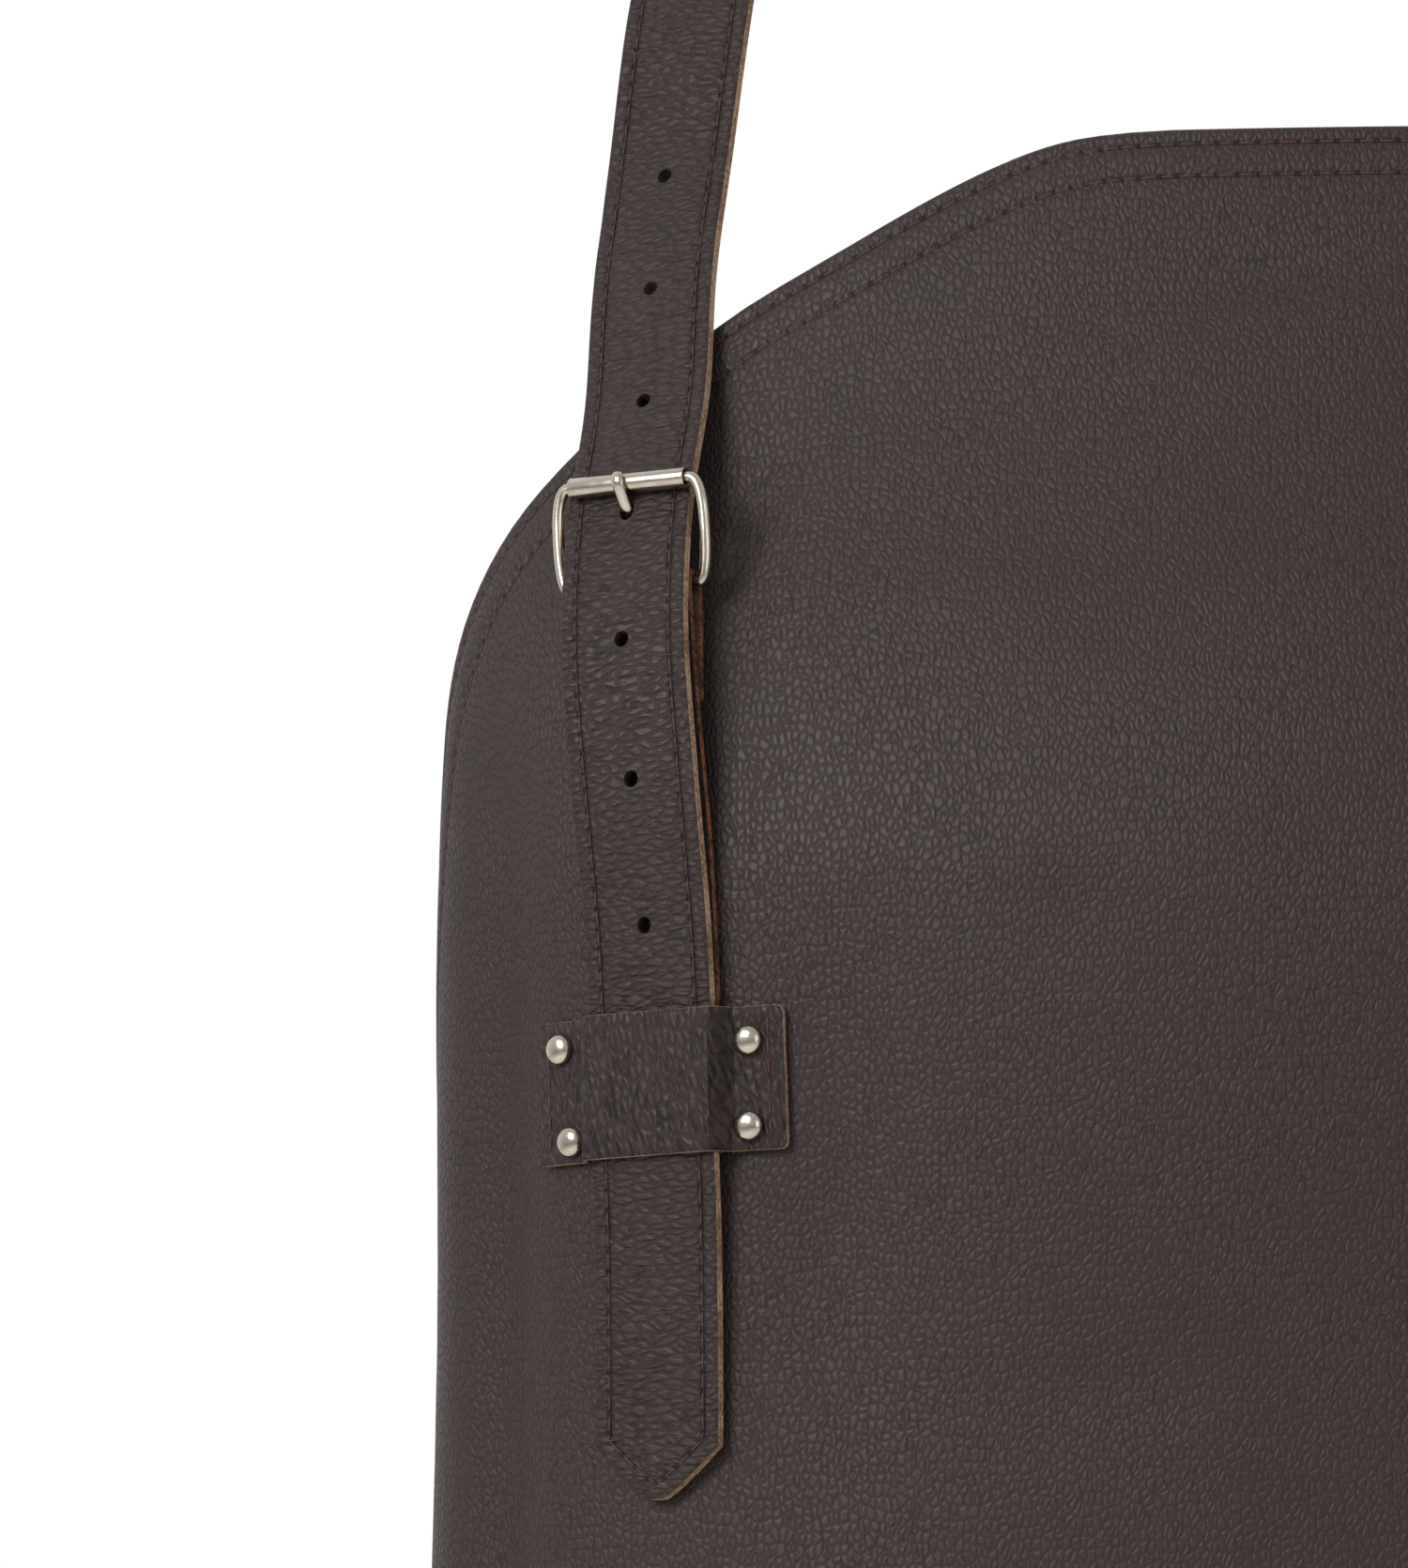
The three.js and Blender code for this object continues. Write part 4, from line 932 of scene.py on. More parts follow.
@dataclass(frozen=True)
class ApronPanel:
    """Bib and skirt in one piece, with a sewn hem turned in behind its whole edge."""

    form: BodyForm
    leather: float = 2.0
    hem_width: float = 15.0
    hem_turn: float = 1.3
    edge_round: float = 1.6
    spacing: float = 4.6
    stitch_insets: tuple[float, ...] = (4.0, 12.0)
    pitch: float = STITCH_PITCH
    groove: float = 0.3
    puff: float = 0.28
    close_offsets: tuple[float, ...] = (
        0.0, 0.35, 0.9, 1.6, 2.4, 3.2, 3.7, 4.0, 4.3, 4.9, 6.2, 8.0, 9.8, 11.1, 11.7, 12.0, 12.3,
        13.0, 14.2, 15.0, 15.5, 17.5, 21.0,
    )
    outline: Table = Table(
        ("at", "girth"),
        (
            (0.0, 0.165), (0.0018, 0.21), (0.0078, 0.253), (0.0239, 0.302), (0.0503, 0.359),
            (0.087, 0.428), (0.145, 0.535), (0.238, 0.661), (0.298, 0.732), (0.366, 0.787),
            (0.438, 0.828), (0.492, 0.846), (0.617, 0.876), (0.85, 0.928), (1.0, 0.962),
            (1.12, 0.99), (1.25, 1.0), (2.0, 1.0),
        ),
    )
    # Soft dents: girth and drop of the middle, half sizes across and down, rise, turn in degrees
    dents: Table = Table(
        ("girth", "drop", "across", "down", "rise", "turn"),
        (
            (-27.0, 37.0, 30.0, 7.0, -1.3, -12.0),
            (-24.0, 52.0, 34.0, 9.0, 0.9, -10.0),
            (-150.0, 86.0, 9.0, 14.0, -1.2, 20.0),
            (-8.0, 176.0, 20.0, 12.0, -1.2, 10.0),
            (-71.0, 190.0, 16.0, 10.0, -0.8, 0.0),
            (34.0, 66.0, 26.0, 9.0, -1.0, 14.0),
            (92.0, 150.0, 18.0, 26.0, -1.0, -20.0),
            (150.0, 96.0, 9.0, 14.0, -1.0, -20.0),
            (58.0, 250.0, 30.0, 12.0, -0.9, 8.0),
            (-152.0, 112.0, 4.6, 34.0, -1.5, 2.0),
            (-142.0, 150.0, 4.4, 30.0, -0.9, -4.0),
            (152.0, 112.0, 4.6, 34.0, -1.5, -2.0),
            (142.0, 150.0, 4.4, 30.0, -0.9, 4.0),
            (-60.0, 300.0, 34.0, 14.0, -0.9, -6.0),
        ),
    )

    def half_width(self, at: np.ndarray) -> np.ndarray:
        """Half of the flat width at a table height."""
        return self.form.apron_half_width * self.outline.read("girth", at)

    def drops(self) -> np.ndarray:
        """Distances of the mesh rows below the bib top, close together at both hems."""
        total = self.form.bib_height + self.form.skirt_length
        close = np.array(self.close_offsets)
        count = round((total - 2 * close[-1]) / self.spacing)
        middle = np.linspace(close[-1], total - close[-1], count + 1)
        return np.concatenate([close[:-1], middle, total - close[-2::-1]])

    def girths(self, at: float) -> np.ndarray:
        """Girths of the mesh columns at one height, close together at both hems."""
        half = float(self.half_width(at))
        step = self.form.height_step
        run = float(self.half_width(at + step)) - half
        fall = float(self.form.height_of(np.array(at)) - self.form.height_of(np.array(at + step)))
        stretch = min(math.hypot(1.0, run / fall), half / 2 / self.close_offsets[-1])
        close = half - np.array(self.close_offsets) * stretch
        count = round((self.form.apron_half_width - self.close_offsets[-1]) / self.spacing)
        inner = np.linspace(0.0, close[-1], count + 1)
        right = np.concatenate([inner, close[-2::-1]])
        return np.concatenate([-right[:0:-1], right])

    def flat_outline(self) -> FlatOutline:
        """Outline of the panel in the flat, as girth and drop below the bib top."""
        total = self.form.bib_height + self.form.skirt_length
        drop = np.concatenate([np.linspace(0.0, 12.0, 60), np.linspace(12.2, total, 700)])
        half = self.half_width(self.form.table_height(drop))
        right = np.column_stack([half, drop])
        left = np.column_stack([-half, drop])[::-1]
        return FlatOutline(np.vstack([left, right]))

    def relief(self, flat: np.ndarray, inside: np.ndarray) -> np.ndarray:
        """Rise of the grain side over the body.

        Args:
            flat: Girth and drop of the points.
            inside: Distance of each point inside the outline.

        Returns:
            The folds, dents, a slow wave, and the stitched hem's grooves and fullness.
        """
        girth, drop = flat[..., 0], flat[..., 1]
        rise = self.form.fold_rise(girth, self.form.table_height(drop))
        for middle, low, across, down, height, turn in self.dents.rows:
            angle = math.radians(turn)
            x = (girth - middle) * math.cos(angle) + (drop - low) * math.sin(angle)
            y = (drop - low) * math.cos(angle) - (girth - middle) * math.sin(angle)
            rise = rise + height * np.exp(-((x / across) ** 2) - (y / down) ** 2)
        wave = np.sin(girth / 31 + 1.3 * np.sin(drop / 57)) * np.sin(drop / 43 + girth / 95)
        rise = rise + 0.3 * wave
        first, second = self.stitch_insets
        between = np.clip((inside - first) / (second - first), 0.0, 1.0)
        rise = rise + self.puff * np.sin(math.pi * between)
        for inset in self.stitch_insets:
            rise = rise - self.groove * np.exp(-(((inside - inset) / 0.8) ** 2))
        return rise

    def rounding(self, inside: np.ndarray) -> np.ndarray:
        """How far the faces close in on each other where the edge is turned over."""
        reach = np.clip(self.edge_round - inside, 0.0, 0.94 * self.edge_round)
        return self.edge_round - np.sqrt(self.edge_round**2 - reach**2)

    def build(self, finishes: Finishes) -> None:
        """Builds and dresses the panel and its stitching."""
        drop = self.drops()
        at = self.form.table_height(drop)
        girth = np.stack([self.girths(float(height)) for height in at])
        flat = np.stack([girth, np.broadcast_to(drop[:, None], girth.shape)], axis=-1)
        heights = np.broadcast_to(at[:, None], girth.shape)
        outline = self.flat_outline()
        seam = outline.measure(flat)
        out = self.form.normals(girth, heights)
        body = self.form.points(girth, heights)
        rise = self.relief(flat, seam[..., 0])
        close = self.rounding(seam[..., 0])
        turned = 1.0 - smoothstep((seam[..., 0] - self.hem_width) / 0.6)
        wall = self.leather + self.hem_turn * turned
        outer = body + out * (rise - close)[..., None]
        inner = body + out * (rise - wall + close)[..., None]
        cut = CutLeather("panel_leather", outer, inner, flat, seam, rim=((0.5, 0.15),))
        cells = (seam[:-1, :-1, 0] + seam[1:, 1:, 0]) / 2
        choice = np.where(cells < self.hem_width, 0, np.where(cells < self.hem_width + 0.6, 2, 1))
        panel = cut.build(choice, rim_choice=0)
        dress(panel, finishes.bib_grain, finishes.flesh, finishes.raw)
        settle(panel, "apron_leather", "apron_panel")
        for number, inset in enumerate(self.stitch_insets, 1):
            holes = outline.seam_points(inset, self.pitch)
            whole = np.vstack([holes, holes[:1]])
            known = np.nan_to_num(whole)
            level = self.form.table_height(known[:, 1])
            normal = self.form.normals(known[:, 0], level)
            lift = self.relief(known, np.full(len(known), inset))
            places = self.form.points(known[:, 0], level) + normal * lift[:, None]
            places[np.isnan(whole).any(axis=1)] = np.nan
            row = Stitching().build(f"hem_stitching_{number}", places, normal)
            dress(row, finishes.thread)
            settle(row, "apron_leather")


@dataclass(frozen=True)
class StrapRun:
    """Line that a shoulder strap follows from its pointed tail over the shoulder to the back."""

    form: BodyForm
    width: float = 32.0
    thickness: float = 3.3
    strap_side: float = 160.0
    shoulder_radius: float = 60.0
    chape_thickness: float = 1.8
    wire: float = 2.8
    buckle_float: float = 3.0
    gap: float = 0.3
    curve_ease: float = 0.8
    tongue_hole_row: int = 9
    # Front: turn is in degrees, towards the front
    front: Table = Table(
        ("at", "girth", "lie", "rise", "turn"),
        (
            (1.042, 0.57, 0.1, 0.0, 0.0), (0.965, 0.569, 0.42, 0.0, 0.0),
            (0.87, 0.569, 0.8, 0.0, 0.0), (0.818, 0.57, 1.0, 0.0, 0.0),
            (0.758, 0.572, 1.0, 0.0, 0.0), (0.705, 0.573, 1.0, 0.0, 0.0),
            (0.635, 0.576, 1.0, 0.08, 0.0), (0.528, 0.58, 1.0, 0.62, 0.0),
            (0.424, 0.585, 1.0, 0.98, 0.0), (0.325, 0.584, 1.0, 0.99, 0.0),
            (0.22, 0.583, 0.0, 0.55, 2.0), (0.113, 0.59, 0.0, 0.06, 6.0),
            (0.003, 0.594, 0.0, -0.55, 12.0), (-0.148, 0.588, 0.0, -1.0, 18.0),
        ),
    )
    shoulder: Table = Table(
        ("side", "back", "drop", "lean", "tilt"),
        (
            (1.01, -0.5, 0.14, 0.36, 0.86), (1.02, 0.0, 0.0, 0.24, 1.0),
            (1.05, 0.45, 0.14, 0.34, 0.86), (1.09, 0.74, 0.55, 0.58, 0.45),
            (1.12, 0.83, 1.1, 0.72, 0.0), (1.13, 0.8, 1.7, 0.66, 0.0),
            (1.085, 0.73, 2.3, 0.5, 0.0), (0.99, 0.67, 2.85, 0.36, 0.0),
        ),
    )
    back: Table = Table(
        ("at", "spine", "over", "off"),
        (
            (0.407, 0.43, 0.0, 1.5), (0.49, 0.345, 0.1, 0.6), (0.563, 0.25, 0.5, 0.1),
            (0.64, 0.14, 1.0, 0.0), (0.73, 0.0, 1.0, 0.0), (0.813, -0.14, 1.0, 0.0),
            (0.873, -0.24, 0.55, 0.0), (0.96, -0.385, 0.05, 0.1), (1.025, -0.53, 0.0, 0.6),
            (1.071, -0.68, 0.0, 0.85), (1.12, -0.83, 0.0, 0.45),
        ),
    )

    def route(self, lift: float) -> Route:
        """Lays the route of the wearer's right-hand strap.

        Args:
            lift: How far it stands off where the two straps cross.

        Returns:
            The route of the middle of the strap.
        """
        half, wide = self.thickness / 2, self.width / 4
        layer = self.chape_thickness + self.gap
        over = self.chape_thickness + self.wire + 3 * self.gap + self.buckle_float
        places: list[np.ndarray] = []
        facings: list[np.ndarray] = []
        for at, girth, lie, rise, turn in self.front.rows:
            stand = half + self.gap + lie * layer + rise * over
            self.add_row(places, facings, -girth * self.form.apron_half_width, at, stand, wide)
            turned = Matrix.Rotation(math.radians(turn), 3, "Z") @ Vector(facings[-1])
            facings[-1] = np.array(turned)
        for side, back, drop, lean, tilt in self.shoulder.rows:
            place = np.array([
                -side * self.strap_side,
                back * self.shoulder_radius,
                half - drop * self.shoulder_radius,
            ])
            places.append(place)
            facings.append(unit(np.array([-lean, back, tilt])))
        for at, spine, over_share, off in self.back.rows:
            girth = -self.form.half_girth(at) + spine * self.form.apron_half_width
            stand = half + self.curve_ease + over_share * lift + off * self.thickness
            self.add_row(places, facings, girth, at, stand, wide)
        return Route(places, facings)

    def add_row(
        self,
        places: list[np.ndarray],
        facings: list[np.ndarray],
        girth: float,
        at: float,
        stand: float,
        reach: float,
    ) -> None:
        """Adds a place that stands off the body, and the direction that it faces."""
        out = self.form.normals(np.array([girth]), np.array([at]), reach)[0]
        places.append(self.form.points(np.array([girth]), np.array([at]))[0] + stand * out)
        facings.append(out)

    def front_girth(self, drop: np.ndarray | float) -> np.ndarray:
        """Girth of the strap's middle at a distance below the bib top, in front."""
        rising = Table(self.front.columns, self.front.rows[::-1])
        return -rising.read("girth", self.form.table_height(drop)) * self.form.apron_half_width


@dataclass(frozen=True)
class BucklePlaces:
    """Places of a buckle's bars, in the strap's own directions."""

    hole: float
    roller: np.ndarray
    heel: np.ndarray
    at_roller: tuple[np.ndarray, ...]
    at_heel: tuple[np.ndarray, ...]
    roller_bar: np.ndarray
    heel_bar: np.ndarray
    out: np.ndarray


@dataclass(frozen=True)
class ShoulderStrap:
    """Two layers of leather sewn together, with punched holes and a pointed tail."""

    run: StrapRun
    side: Side
    lift: float
    point: float = 12.0
    blunt: float = 0.1
    roundness: float = 0.85
    spacing: float = 2.8
    stitch_inset: float = 3.8
    pitch: float = STITCH_PITCH
    hole_pitch: float = 34.0
    hole_diameter: float = 3.7
    hole_stretch: float = 1.4
    holes_each_way: int = 3
    close_offsets: tuple[float, ...] = (0.0, 0.5, 1.2, 2.4, 3.2, 3.8, 4.4, 5.4, 7.6)
    inner_columns: int = 7

    def share_at(self, distance: np.ndarray) -> np.ndarray:
        """Share of the full width near the pointed tail."""
        reach = np.clip(distance / self.point, 0.0, 1.0)
        return self.blunt + (1 - self.blunt) * reach**self.roundness

    def flat_outline(self, length: float) -> FlatOutline:
        """Outline in the flat, as distance across and distance along."""
        along = np.concatenate([np.linspace(0.0, self.point, 25), [length]])
        half = self.run.width / 2 * self.share_at(along)
        right = np.column_stack([half, along])
        left = np.column_stack([-half, along])[::-1]
        return FlatOutline(np.vstack([left, right]))

    def surface(self, route: Route, flat: np.ndarray, stand: np.ndarray) -> np.ndarray:
        """Points of the bent strap.

        Args:
            route: Line that the strap follows.
            flat: Distance across and along of the points.
            stand: Distance of each point outside the strap's middle layer.

        Returns:
            One point in the frame for each.
        """
        loose = flat.reshape(-1, 2)
        at, _, out, aside = route.stations(loose[:, 1])
        found = at + aside * loose[:, :1] + out * stand.reshape(-1, 1)
        return found.reshape(flat.shape[:-1] + (3,))

    def build(self, finishes: Finishes, route: Route) -> None:
        """Builds and dresses the strap, its holes and its stitching."""
        name = self.side.value
        near = np.linspace(0.0, self.point, 9)
        steps = round((route.length - self.point) / self.spacing)
        far = np.linspace(self.point, route.length, steps)
        along = np.concatenate([near, far[1:]])
        half = self.run.width / 2
        close = half - np.array(self.close_offsets)
        inner = np.linspace(-close[-1], close[-1], self.inner_columns + 2)[1:-1]
        across = np.concatenate([-close, inner, close[::-1]])
        share = self.share_at(along)
        flat = np.stack(np.broadcast_arrays(across[None] * share[:, None], along[:, None]), axis=-1)
        outline = self.flat_outline(route.length)
        seam = outline.measure(flat)
        inside = seam[..., 0]
        crown = 0.22 * np.cos(flat[..., 0] / half * math.pi / 2)
        groove = 0.28 * np.exp(-(((inside - self.stitch_inset) / 0.8) ** 2))
        edge = 0.35 * np.clip(1 - inside / 0.9, 0.0, 1.0) ** 2
        ripple = 0.1 * np.sin(flat[..., 1] / 5.3 + 1.7 * np.sin(flat[..., 1] / 13)) * (
            0.5 + 0.5 * np.sin(flat[..., 1] / 37)
        )
        stand = self.run.thickness / 2 + crown - groove - edge + ripple - 0.1
        outer = self.surface(route, flat, stand)
        under = self.surface(route, flat, -self.run.thickness / 2 + edge + 0.5 * groove)
        cut = CutLeather(
            f"shoulder_strap_{name}_leather",
            outer,
            under,
            flat,
            seam,
            rim=((0.1, 0.1), (0.44, 0.12), (0.5, -0.12), (0.56, 0.12), (0.9, 0.1)),
            side=self.side,
        )
        strap = cut.build(np.zeros((len(along) - 1, len(across) - 1), int), rim_choice=1)
        dress(strap, finishes.strap_grain, finishes.raw)
        self.punch(strap, route, finishes)
        settle(strap, "strap_leather", f"shoulder_strap_{name}")
        holes = outline.seam_points(self.stitch_inset, self.pitch)
        whole = np.vstack([holes, holes[:1]])
        known = np.nan_to_num(whole)
        lift = np.full(len(known), self.run.thickness / 2 - 0.12)
        places = self.surface(route, known, lift)
        places[np.isnan(whole).any(axis=1)] = np.nan
        out = route.stations(known[:, 1])[2]
        row = Stitching(thread=0.5).build(f"strap_stitching_{name}", places, out, self.side)
        dress(row, finishes.thread)
        settle(row, "strap_leather")

    def punch(self, strap: bpy.types.Object, route: Route, finishes: Finishes) -> None:
        """Punches the row of holes through the strap."""
        hole = route.distance_of_row(self.run.tongue_hole_row)
        cutters = []
        for number in range(-self.holes_each_way, self.holes_each_way + 1):
            at, along, out, aside = route.station(hole + number * self.hole_pitch)
            deselect_all()
            bpy.ops.mesh.primitive_cylinder_add(
                vertices=20, radius=self.hole_diameter / 2 * MM, depth=4 * self.run.thickness * MM
            )
            cutter = bpy.context.object
            stretch = self.hole_stretch if number == 0 else 1.1
            frame = Matrix((
                (aside[0], along[0] * stretch, out[0], at[0] * MM),
                (aside[1], along[1] * stretch, out[1], at[1] * MM),
                (aside[2], along[2] * stretch, out[2], at[2] * MM),
                (0.0, 0.0, 0.0, 1.0),
            ))
            mirror = Matrix.Scale(-1.0, 4, (1.0, 0.0, 0.0))
            cutter.matrix_world = mirror @ frame if self.side is Side.LEFT else frame
            cutters.append(cutter)
        deselect_all()
        for cutter in cutters:
            cutter.select_set(True)
        bpy.context.view_layer.objects.active = cutters[0]
        bpy.ops.object.join()
        # The hole walls take the lining with painted shade.
        cut_away(strap, cutters[0], finishes.shaded_hole_lining)


@dataclass(frozen=True)
class BuckleStrap:
    """Single strap under the billet, folded round the buckle's heel bar."""

    run: StrapRun
    side: Side
    lap: float = 32.0
    slot_length: float = 20.0
    slot_width: float = 4.8
    patch_drop: float = PATCH_DROP
    patch_height: float = PATCH_HEIGHT
    spacing: float = 2.5
    front: Table = Table(
        ("at", "stand"),
        ((0.0, 0.0), (0.3, 0.0), (0.42, 0.02), (0.55, 0.2), (0.7, 0.55), (0.86, 0.84)),
    )
    back: tuple[float, ...] = (0.35, 0.7, 1.0)
    curl_degrees: int = 30

    def route(self, places: BucklePlaces) -> Route:
        """Lays the strap from the keeper patch up, round the heel bar and back down."""
        form = self.run.form
        half = self.run.chape_thickness / 2
        wrap = self.run.wire / 2 + self.run.gap + half
        bottom = self.patch_drop + self.patch_height / 2
        heel_drop = -form.shoulder_rise - places.heel[2]
        spot, out = self.row(heel_drop)
        heel_stand = float(np.dot(places.heel - spot, out))
        low = self.run.gap + half
        rows: list[np.ndarray] = []
        facings: list[np.ndarray] = []
        for up, stand in self.front.rows:
            spot, out = self.row(bottom + (heel_drop - bottom) * up)
            rows.append(spot + out * (low + stand * (heel_stand + wrap - low)))
            facings.append(out)
        _, along, outward, _ = places.at_heel
        for degrees in range(0, 181, self.curl_degrees):
            angle = math.radians(degrees)
            facing = outward * math.cos(angle) + along * math.sin(angle)
            rows.append(places.heel + wrap * facing)
            facings.append(facing)
        for share in self.back:
            up = 1 - share * self.lap / (bottom - heel_drop)
            spot, out = self.row(bottom + (heel_drop - bottom) * up)
            rows.append(spot + out * (heel_stand - wrap))
            facings.append(-out)
        return Route(rows, facings)

    def row(self, drop: float) -> tuple[np.ndarray, np.ndarray]:
        """Point of the body under the strap's middle, and its outward direction."""
        form = self.run.form
        girth = np.array([float(self.run.front_girth(drop))])
        at = np.array([float(form.table_height(drop))])
        return form.points(girth, at)[0], form.normals(girth, at)[0]

    def build(self, finishes: Finishes, places: BucklePlaces) -> None:
        """Builds and dresses the strap and cuts its slot."""
        name = self.side.value
        route = self.route(places)
        along = np.linspace(0.0, route.length, round(route.length / self.spacing))
        across = np.linspace(-self.run.width / 2, self.run.width / 2, 15)
        flat = np.stack(np.meshgrid(across, along), axis=-1)
        at, _, out, aside = route.stations(along)
        middle = at[:, None] + aside[:, None] * across[None, :, None]
        half = self.run.chape_thickness / 2
        seam = np.full(flat.shape, 50.0)
        cut = CutLeather(
            f"buckle_strap_{name}_leather",
            self.follow_bar(middle + half * out[:, None], places),
            self.follow_bar(middle - half * out[:, None], places),
            flat,
            seam,
            side=self.side,
        )
        strap = cut.build()
        dress(strap, finishes.under_grain, finishes.flesh, finishes.dark_edge)
        self.cut_slot(strap, places, finishes)
        settle(strap, "strap_leather", f"buckle_strap_{name}")

    def follow_bar(self, points: np.ndarray, places: BucklePlaces) -> np.ndarray:
        """Slants the fold with the bar that hangs askew, less and less further down."""
        _, along, _, aside = places.at_heel
        beyond = points - places.heel
        slant = np.dot(places.heel_bar, along) / np.dot(places.heel_bar, aside)
        share = 1 - smoothstep(-(beyond @ along) / self.lap)
        return points + ((beyond @ aside) * slant * share)[..., None] * along

    def cut_slot(
        self, strap: bpy.types.Object, places: BucklePlaces, finishes: Finishes
    ) -> None:
        """Cuts the slot that lets the tongue through at the fold."""
        _, along, out, aside = places.at_heel
        deselect_all()
        bpy.ops.mesh.primitive_cube_add(size=1.0)
        tool = bpy.context.object
        bpy.ops.object.mode_set(mode="EDIT")
        bpy.ops.mesh.select_all(action="SELECT")
        bpy.ops.transform.resize(
            value=(self.slot_width * MM, self.slot_length * MM, 6 * self.run.wire * MM)
        )
        bpy.ops.object.mode_set(mode="OBJECT")
        columns = (aside, along, out, places.heel * MM)
        frame = Matrix([[float(column[k]) for column in columns] for k in range(3)] + [[0, 0, 0, 1]])
        mirror = Matrix.Scale(-1.0, 4, (1.0, 0.0, 0.0))
        tool.matrix_world = mirror @ frame if self.side is Side.LEFT else frame
        # The slot's walls take the lining with painted shade.
        cut_away(strap, tool, finishes.shaded_hole_lining)


def select_rings(piece: bpy.types.Object, numbers: set[int], sides: int) -> None:
    """Selects the edges of some rings of a rod in edit mode, by the rings' numbers."""
    bpy.ops.mesh.select_all(action="DESELECT")
    shape = bmesh.from_edit_mesh(piece.data)
    for edge in shape.edges:
        ends = {vertex.index // sides for vertex in edge.verts}
        if len(ends) == 1 and ends <= numbers:
            edge.select = True
    bmesh.update_edit_mesh(piece.data)


def bridged_tube(
    name: str,
    rings: Sequence[tuple[np.ndarray, np.ndarray, np.ndarray]],
    radii: Sequence[tuple[float, float]],
    sides: int,
    closed: bool,
) -> bpy.types.Object:
    """Bridges rings in edit mode to a bent rod.

    Args:
        name: Name of the new object.
        rings: Middle, side direction and up direction of each ring.
        radii: Half sizes of each ring to its side and up.
        sides: Corners of a ring.
        closed: Whether the last ring joins the first one; else both ends are filled.

    Returns:
        The rod, at the origin, with its faces pointing outwards.
    """
    made = bpy.data.objects.new(name, bpy.data.meshes.new(name))
    bpy.context.scene.collection.objects.link(made)
    take_hold(made)
    bpy.ops.object.mode_set(mode="EDIT")
    for (middle, aside, up), (wide, high) in zip(rings, radii):
        bpy.ops.mesh.select_all(action="DESELECT")
        ahead = np.cross(aside, up)
        turn = Matrix([[float(aside[k]), float(up[k]), float(ahead[k])] for k in range(3)])
        bpy.ops.mesh.primitive_circle_add(
            vertices=sides,
            radius=wide * MM,
            location=Vector(middle * MM),
            rotation=turn.to_euler(),
        )
        bpy.ops.transform.resize(
            value=(1.0, high / wide, 1.0),
            orient_type="GLOBAL",
            orient_matrix=turn,
            orient_matrix_type="GLOBAL",
            center_override=Vector(middle * MM),
        )
    bpy.ops.mesh.select_mode(type="EDGE")
    count = len(rings)
    for first in range(count if closed else count - 1):
        select_rings(made, {first, (first + 1) % count}, sides)
        bpy.ops.mesh.bridge_edge_loops()
    for end in () if closed else (0, count - 1):
        select_rings(made, {end}, sides)
        bpy.ops.mesh.edge_face_add()
    bpy.ops.mesh.select_all(action="SELECT")
    bpy.ops.mesh.normals_make_consistent(inside=False)
    bpy.ops.object.mode_set(mode="OBJECT")
    return made


def mirror_to(piece: bpy.types.Object, side: Side) -> None:
    """Turns a finished right-hand piece into its mirror image on the left-hand side."""
    if side is Side.RIGHT:
        return
    piece.data.transform(Matrix.Scale(-1.0, 4, (1.0, 0.0, 0.0)))
    piece.data.flip_normals()


